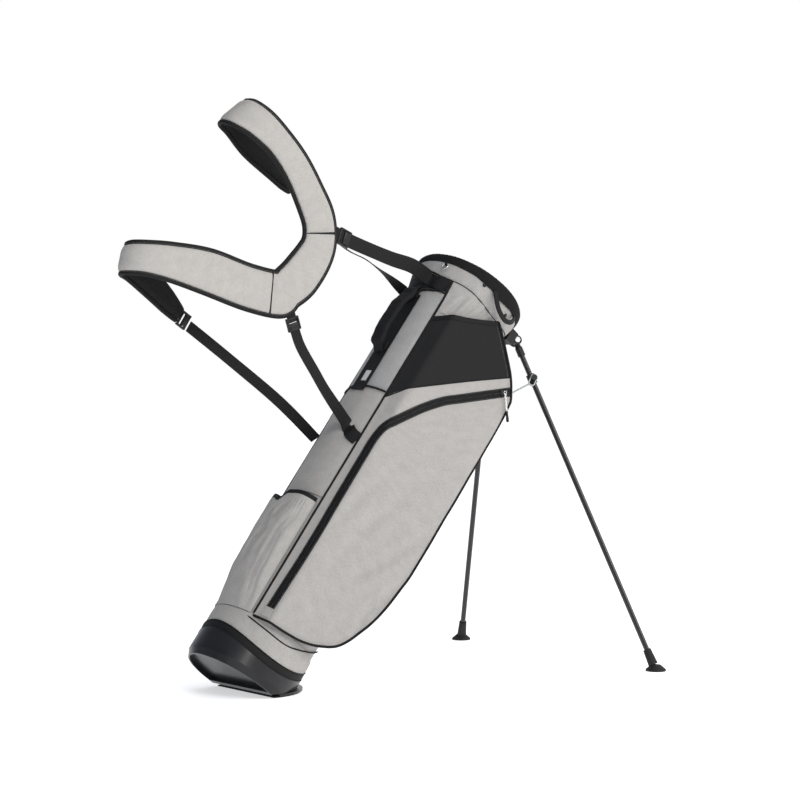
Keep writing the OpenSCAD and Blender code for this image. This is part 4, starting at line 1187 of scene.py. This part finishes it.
def far_pouch(name, low, high, out, node, seam):
    first, second = flat_polar(-120, TUBE_R + 12), flat_polar(-68, TUBE_R + BALL_OUT)
    second = second - np.array([0, out])
    surf = Pouch(flat_polar(-142, 95.2), first, second, flat_polar(-42, 95.2), 8, 16)
    surf.disp = lambda w, s: puffy(w, s, low, high, surf.width, 12.0)
    w0, w1 = float(surf.w[0]) + 0.5, float(surf.w[-1]) - 0.5
    rows, cols = int((high - low) / 4), 56
    loops = []
    for i in range(rows + 1):
        s = lerp(low, high, i / rows)
        end = min(1.0, (min(i, rows - i) / 5)) ** 0.5
        outer, inner = [], []
        for k in range(cols + 1):
            w = lerp(w0, w1, k / cols)
            p = surf.at(w, s)
            n, y = (np.interp(w, surf.w, surf.p[:, q]) for q in (0, 1))
            deg = math.degrees(math.atan2(-y, n))
            base = tube(deg, 95.0, s)
            q = base.lerp(p, lerp(0.03, 1, end)) if (p - base).length > 0 else p
            outer.append(q)
            inner.append(base.lerp(q, 0.02))
        loops.append(outer + inner[::-1])
    obj = loft(name, loops, [GREY], sharp=60)
    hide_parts(node)
    for k, v in enumerate((0.07, 0.93)):
        s = lerp(low, high, v)
        sweep("%s_piping_%d" % (name, k), [surf.at(lerp(w0 + 3, w1 - 3, j / 60), s, 0.6)
                                           for j in range(61)], 1.9, PIPING, sides=8)
    line = smooth([(w0 + 26, seam - 12), (20, seam), (surf.width - 12, seam + 6)], 2.0)
    p, q = shifted(line, -7), shifted(line, 7)
    loops = [[surf.at(*(p[i] + (q[i] - p[i]) * k / 4), 1.2) for k in range(5)]
             + [surf.at(*(q[i] + (p[i] - q[i]) * k / 4), -0.6) for k in range(5)]
             for i in range(len(p))]
    loft(name + "_zip_tape", loops, TAPE)
    teeth(name + "_zip_teeth", line, surf, 1.3, COIL)
    return obj


far_pouch("ball_pocket_cloth", BALL_LOW + 1, BALL_LOW + BALL_LEN - 1, 0.0, "ball_pocket", 340.0)
far_pouch("far_pocket_cloth", FAR_LOW + 1, BAG_LEN - 166, BALL_OUT / 2, "far_pocket", 640.0)

# ---- bottle pocket ---------------------------------------------------------------
BOTTLE_FOLDS = [
    ([(186, 276), (180, 244), (187, 214), (187, 182)], 7, 3.4),
    ([(156, 290), (162, 248), (162, 200), (161, 157), (156, 110)], 8, 4.0),
    ([(172, 302), (177, 271)], 5, 2.4), ([(199, 300), (203, 240), (199, 170)], 8, 3.6),
    ([(170, 262), (172, 205), (168, 150)], 6, 1.8)]
MOUTH = [(143, 331), (163, 331), (176, 328), (187, 311), (197, 318), (217, 331)]


def bottle_out(deg, v):
    swell = table_at([(0, 1.6), (0.12, 7), (0.35, 15), (0.7, 19), (0.9, 16.8), (1, 16.2)], v)
    side = min(1, (deg - 146.5) / 13, (217.2 - deg) / 13)
    return TUBE_R + 0.9 + (swell - 0.4) * max(side, 0) ** 0.5


def bottle_disp(deg, s):
    d = 0.0
    for line, width, depth in BOTTLE_FOLDS:
        d += fold(deg * 1.9, s, [(a * 1.9, b) for a, b in line], width, depth)
    high = soft_table(MOUTH, deg)
    gather = min(max((s - high + 60) / 40, 0), 1) * min(max((high - 9 - s) / 8, 0), 1)
    d += 0.9 * gather * math.sin(deg * 2.1 + 1.5 * ripple(deg, 1, 1, 9))
    d += 1.0 * ripple(deg * 1.8, s, 4, 34)
    edge = min(deg - 147, 217 - deg)
    return min(d, 1.6) * min(max(edge / 6, 0), 1)


bottle = wall("bottle_cloth", lambda d: BOTTLE_LOW - 1.5, lambda d: soft_table(MOUTH, d), 88,
              bottle_out, lambda d, v: bottle_out(d, v) - 1.2, [GREY, WEB], bottle_disp,
              147, 217, 1.0, mat_at=lambda i, j: 1 if 85 <= j < 93 else 0)
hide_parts("bottle_pocket")

# ---- harness ---------------------------------------------------------------------
SPINE_TOP = Vector((0.4323, 0.0, 0.7578))


def hp(x, y, z):
    return SPINE_TOP + Vector((x, y, z)) * MM


def anchor(deg, down, out):
    return tube(deg, TUBE_R + out, BAG_LEN - down)


# centre, direction from the inner to the outer edge, width; from the upper pad's tip to
# the lower pad's tip
HARNESS = [
    ((-302, 40, 117), (50, 0, 30), 44), ((-345, 30, 147), (52, 0, 32), 54),
    ((-411, 12, 185), (53, 0, 30), 60), ((-452, -3, 217), (57, 0, 40), 64),
    ((-472, -20, 230), (61, 0, 45), 72), ((-470, -45, 227), (61, 0, 45), 74),
    ((-447, -62, 210), (55, 0, 38), 68), ((-412, -65, 182), (53, 0, 30), 62),
    ((-374, -63, 142), (58, 0, 25), 64), ((-340, -57, 94), (64, 0, 20), 68),
    ((-314, -50, 48.6), (72, 0, 9), 73), ((-315.5, -48, 4), (77, 0, 8), 77),
    ((-350, -48, -42), (72, 0, -46), 84), ((-384, -48, -68), (46, 0, -64), 80),
    ((-400, -49, -77), (17, 0, -82), 83), ((-469, -57, -66), (3, 0, -83), 82),
    ((-552, -64, -43), (-8, 0, -82), 80), ((-622, -64, -29), (-6, 0, -66), 68),
    ((-667, -58, -23), (-8, 0, -57), 60), ((-689, -40, -22), (-10, 0, -56), 58),
    ((-686, -16, -25), (-14, 0, -54), 56), ((-655, 2, -36), (-25, 0, -48), 54),
    ((-600, 22, -70), (-27, 0, -42), 48), ((-542, 40, -113), (-30, 0, -40), 36)]
PAD_SEAMS = (10.4, 14.3)


def pad_profile(w, t, seam):
    """Top from the inner to the outer edge, then back underneath; t is the full thickness."""
    half = w / 2
    xs = [half, half - 1.6, half - 4.5, half - 7.4, half - 7.9, half - 10, half - 14]
    inner = [half - 14 - (half - 14) * 2 * k / 8 for k in range(1, 8)]
    xs = xs + inner + [-x for x in xs[::-1]]
    top, low = [], []
    for x in xs:
        e = half - abs(x)
        if e < 7.6:
            h = 2.0 + 1.5 * math.sin(math.pi * min(e / 7.6, 1)) if e > 0.1 else 0.9
        else:
            h = lerp(2.7, t / 2, min((e - 7.6) / 9, 1) ** 0.5)
        h = lerp(h, min(h, 2.8), seam)
        top.append((x, h))
        low.append((x, -h))
    return top[::-1] + low


def harness():
    n = len(HARNESS) - 1
    rows = 330
    pts, sides, widths, ts = [], [], [], []
    for i in range(rows + 1):
        t = n * i / rows
        c = path_at([h[0] for h in HARNESS], t)
        d = path_at([tuple(np.array(h[1]) / np.linalg.norm(h[1])) for h in HARNESS], t)
        w = float(path_at([(h[2], 0) for h in HARNESS], t)[0])
        pts.append(hp(*c))
        sides.append(Vector(d))
        widths.append(w)
        ts.append(t)
    loops = []
    for i, (q, tan, a, b) in enumerate(frames(pts, sides)):
        seam = sum(math.exp(-((ts[i] - s) / 0.07) ** 2) for s in PAD_SEAMS)
        tip_fade = min(1, (min(i, rows - i) + 1) / 9) ** 0.5
        loop = []
        for x, y in pad_profile(widths[i] * lerp(0.72, 1, tip_fade), 13.0 * lerp(0.45, 1, tip_fade),
                                min(seam, 1)):
            puff = 0.5 * ripple(x * 1.0, ts[i] * 26, 3.0, 26)
            if abs(x) < widths[i] / 2 - 9:
                y += math.copysign(puff * (1 - min(seam, 1)), 1)
            loop.append(q + a * x * MM + b * y * MM)
        loops.append(loop)
    m = len(loops[0]) // 2

    def mat_at(i, j):
        top = j < m - 1
        k = j if top else j - m
        edge = k < 3 or k >= m - 4
        seam = any(abs(ts[min(i, rows)] - s) < 0.05 for s in PAD_SEAMS)
        if edge or j == m - 1 or j == 2 * m - 1:
            return 1
        if seam:
            return 1
        return 0 if top else 2
    obj = loft("harness_pad", loops, [GREY_PAD, BINDING, SPACER], mat_at=mat_at, sharp=70)
    stitch_in, stitch_out = [], []
    for i, (q, tan, a, b) in enumerate(frames(pts, sides)):
        if 10 < i < rows - 10:
            for line, sign in ((stitch_in, -1), (stitch_out, 1)):
                line.append(q + a * sign * (widths[i] / 2 - 5.8) * MM + b * 3.7 * MM)
    stitches("harness_stitch_in", stitch_in, THREAD_GREY, pitch=3.2, long=2.0, r=0.14)
    stitches("harness_stitch_out", stitch_out, THREAD_GREY, pitch=3.2, long=2.0, r=0.14)
    return obj


GREY_PAD = heather("heather_grey_pad", (0.445, 0.428, 0.408), (0.285, 0.274, 0.26))
pads = harness()
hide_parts("harness_yoke", "shoulder_pad_upper", "shoulder_pad_lower")


def ribbon_path(name, points, dirs, widths, node, thick=1.9, step=5.0):
    p = smooth([tuple(q) for q in points], step * MM)
    n = len(p)
    d = [path_at([tuple(x) for x in dirs], (len(dirs) - 1) * i / (n - 1)) for i in range(n)]
    w = [float(np.interp(i / (n - 1), np.linspace(0, 1, len(widths)), widths)) for i in range(n)]
    pts = [Vector(q) for q in p]
    obj = strap(name, pts, [Vector(x) for x in d], w, thick, WEB)
    if node:
        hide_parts(node)
    return obj


ribbon_path("spine_strap",
            [hp(-254, -44.5, 24), hp(-238, -43, 18), hp(-196, -39, 6), hp(-140, -34, -9),
             hp(-88, -28, -20), tube(170, 103.5, 809), tube(158, 102.6, 804), tube(146, 101.2, 800)],
            [(0.4, 0, 0.9), (0.4, 0, 0.9), (0.42, 0, 0.9), (0.45, 0, 0.88), (0.5, 0, 0.85),
             (0.58, 0, 0.8), (0.616, 0, 0.788), (0.616, 0, 0.788)],
            [25, 25, 25, 26, 27, 28, 28, 27], "web_spine")
ribbon_path("flank_strap",
            [hp(-366, -47, -130), hp(-351, -46, -165), hp(-320, -46, -210), hp(-296, -46, -244),
             tube(165, 103, 484), tube(154, 98.6, 468), tube(143.8, 97.6, 462)],
            [(0.9, 0, 0.35), (0.9, 0, 0.45), (0.85, 0, 0.5), (0.85, 0, 0.52), (0.75, 0, 0.66),
             (0.65, 0, 0.76), (0.616, 0, 0.788)], [20, 20, 20, 20, 22, 24, 25], "web_flank")
ribbon_path("lower_strap",
            [hp(-522, 42, -131), hp(-440, 43, -186), hp(-330, 46, -262), anchor(212, 411, 5)],
            [(0.55, 0, 0.83), (0.55, 0, 0.83), (0.5, -0.2, 0.8), (0.4, -0.6, 0.6)],
            [20, 20, 20, 20], "web_lower")
ribbon_path("upper_strap",
            [hp(-303, 41, 118), hp(-296, 41, 113), hp(-196, 45, 20), hp(-126, 47, -12), anchor(212, 75, 6)],
            [(0.5, 0, 0.8), (0.5, 0.1, 0.8), (0.62, 0.75, 0.12), (0.62, 0.76, 0.1), (0.5, 0.1, 0.8)],
            [25, 25, 20, 20, 24], "web_upper")


WRAP_TOP = [(141, 815), (155, 818), (173, 824), (195, 836), (212, 845), (219, 845)]
WRAP_LOW = [(141, 787), (151, 788), (160, 785), (175, 781), (219, 781)]


def wrap_s(deg, v):
    return lerp(soft_table(WRAP_LOW, deg), soft_table(WRAP_TOP, deg), v)


def wrap_out(deg, v):
    return max(PANEL_R + 0.8, table_at(CUFF, wrap_s(deg, v)) + 0.4) + 1.7


wrap = wall("anchor_web", lambda d: wrap_s(d, 0), lambda d: wrap_s(d, 1), 14, wrap_out,
            lambda d, v: wrap_out(d, v) - 1.6, [WEB], lambda d, s: 0.3 * ripple(d * 1.6, s, 5, 20),
            142, 218, 1.5)
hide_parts("strap_anchor")
for k, v in enumerate((0.1, 0.9)):
    stitches("anchor_stitch_%d" % k, [tube(d, wrap_out(d, v) + 0.25, wrap_s(d, v))
                                      for d in range(144, 217, 3)], THREAD_GREY, r=0.17)


def ladder(name, at, along, up, long, wide, node, bars=3):
    """Strap adjuster: two side rails joined by bars."""
    x = Vector(along).normalized()
    z = x.cross(Vector(up)).normalized()
    y = z.cross(x)
    parts = []
    for s in (-1, 1):
        parts.append(block("%s_rail_%d" % (name, s + 1), Vector(at) + y * s * (wide / 2 - 1.7) * MM,
                           (long / 2, 1.7, 3.1), (x, y, z), 1.2, PLASTIC))
    for k in range(bars):
        px = lerp(-long / 2 + 2.2, long / 2 - 2.2, k / (bars - 1))
        parts.append(block("%s_bar_%d" % (name, k), Vector(at) + x * px * MM + z * (0.9 - k % 2) * MM,
                           (2.0, wide / 2 - 2.4, 1.7), (x, y, z), 1.1, PLASTIC))
    parts.append(block(name + "_tongue", Vector(at) + x * (long * 0.14) * MM + z * 2.2 * MM,
                       (long * 0.22, wide / 2 - 4.0, 1.1), (x, y, z), 0.8, PLASTIC))
    for p in parts:
        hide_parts(node)
    return parts


# short webbing tabs join both buckles to the yoke's edge
ribbon_path("yoke_tab_spine", [hp(-288, -47, 36), hp(-276, -46.5, 31.5), hp(-259, -45.5, 25)],
            [(0.4, 0, 0.9)] * 3, [24, 24, 24], "harness_yoke", 2.2, 2.0)
ribbon_path("yoke_tab_flank", [hp(-379, -47, -92), hp(-374, -47, -106), hp(-368, -47, -124)],
            [(0.9, 0, 0.35)] * 3, [19, 19, 19], "harness_yoke", 2.2, 2.0)
ladder("buckle_a", hp(-256, -45, 24), (0.93, 0.05, -0.37), (0.4, 0, 0.9), 26, 30, "buckle_spine")
ladder("buckle_b", hp(-367, -47, -127), (0.3, 0, -0.95), (0.9, 0, 0.35), 24, 26, "buckle_flank")
ladder("adjuster", hp(-533, 41, -121), (0.83, 0, -0.55), (0.55, 0, 0.83), 20, 28, "adjuster_lower")
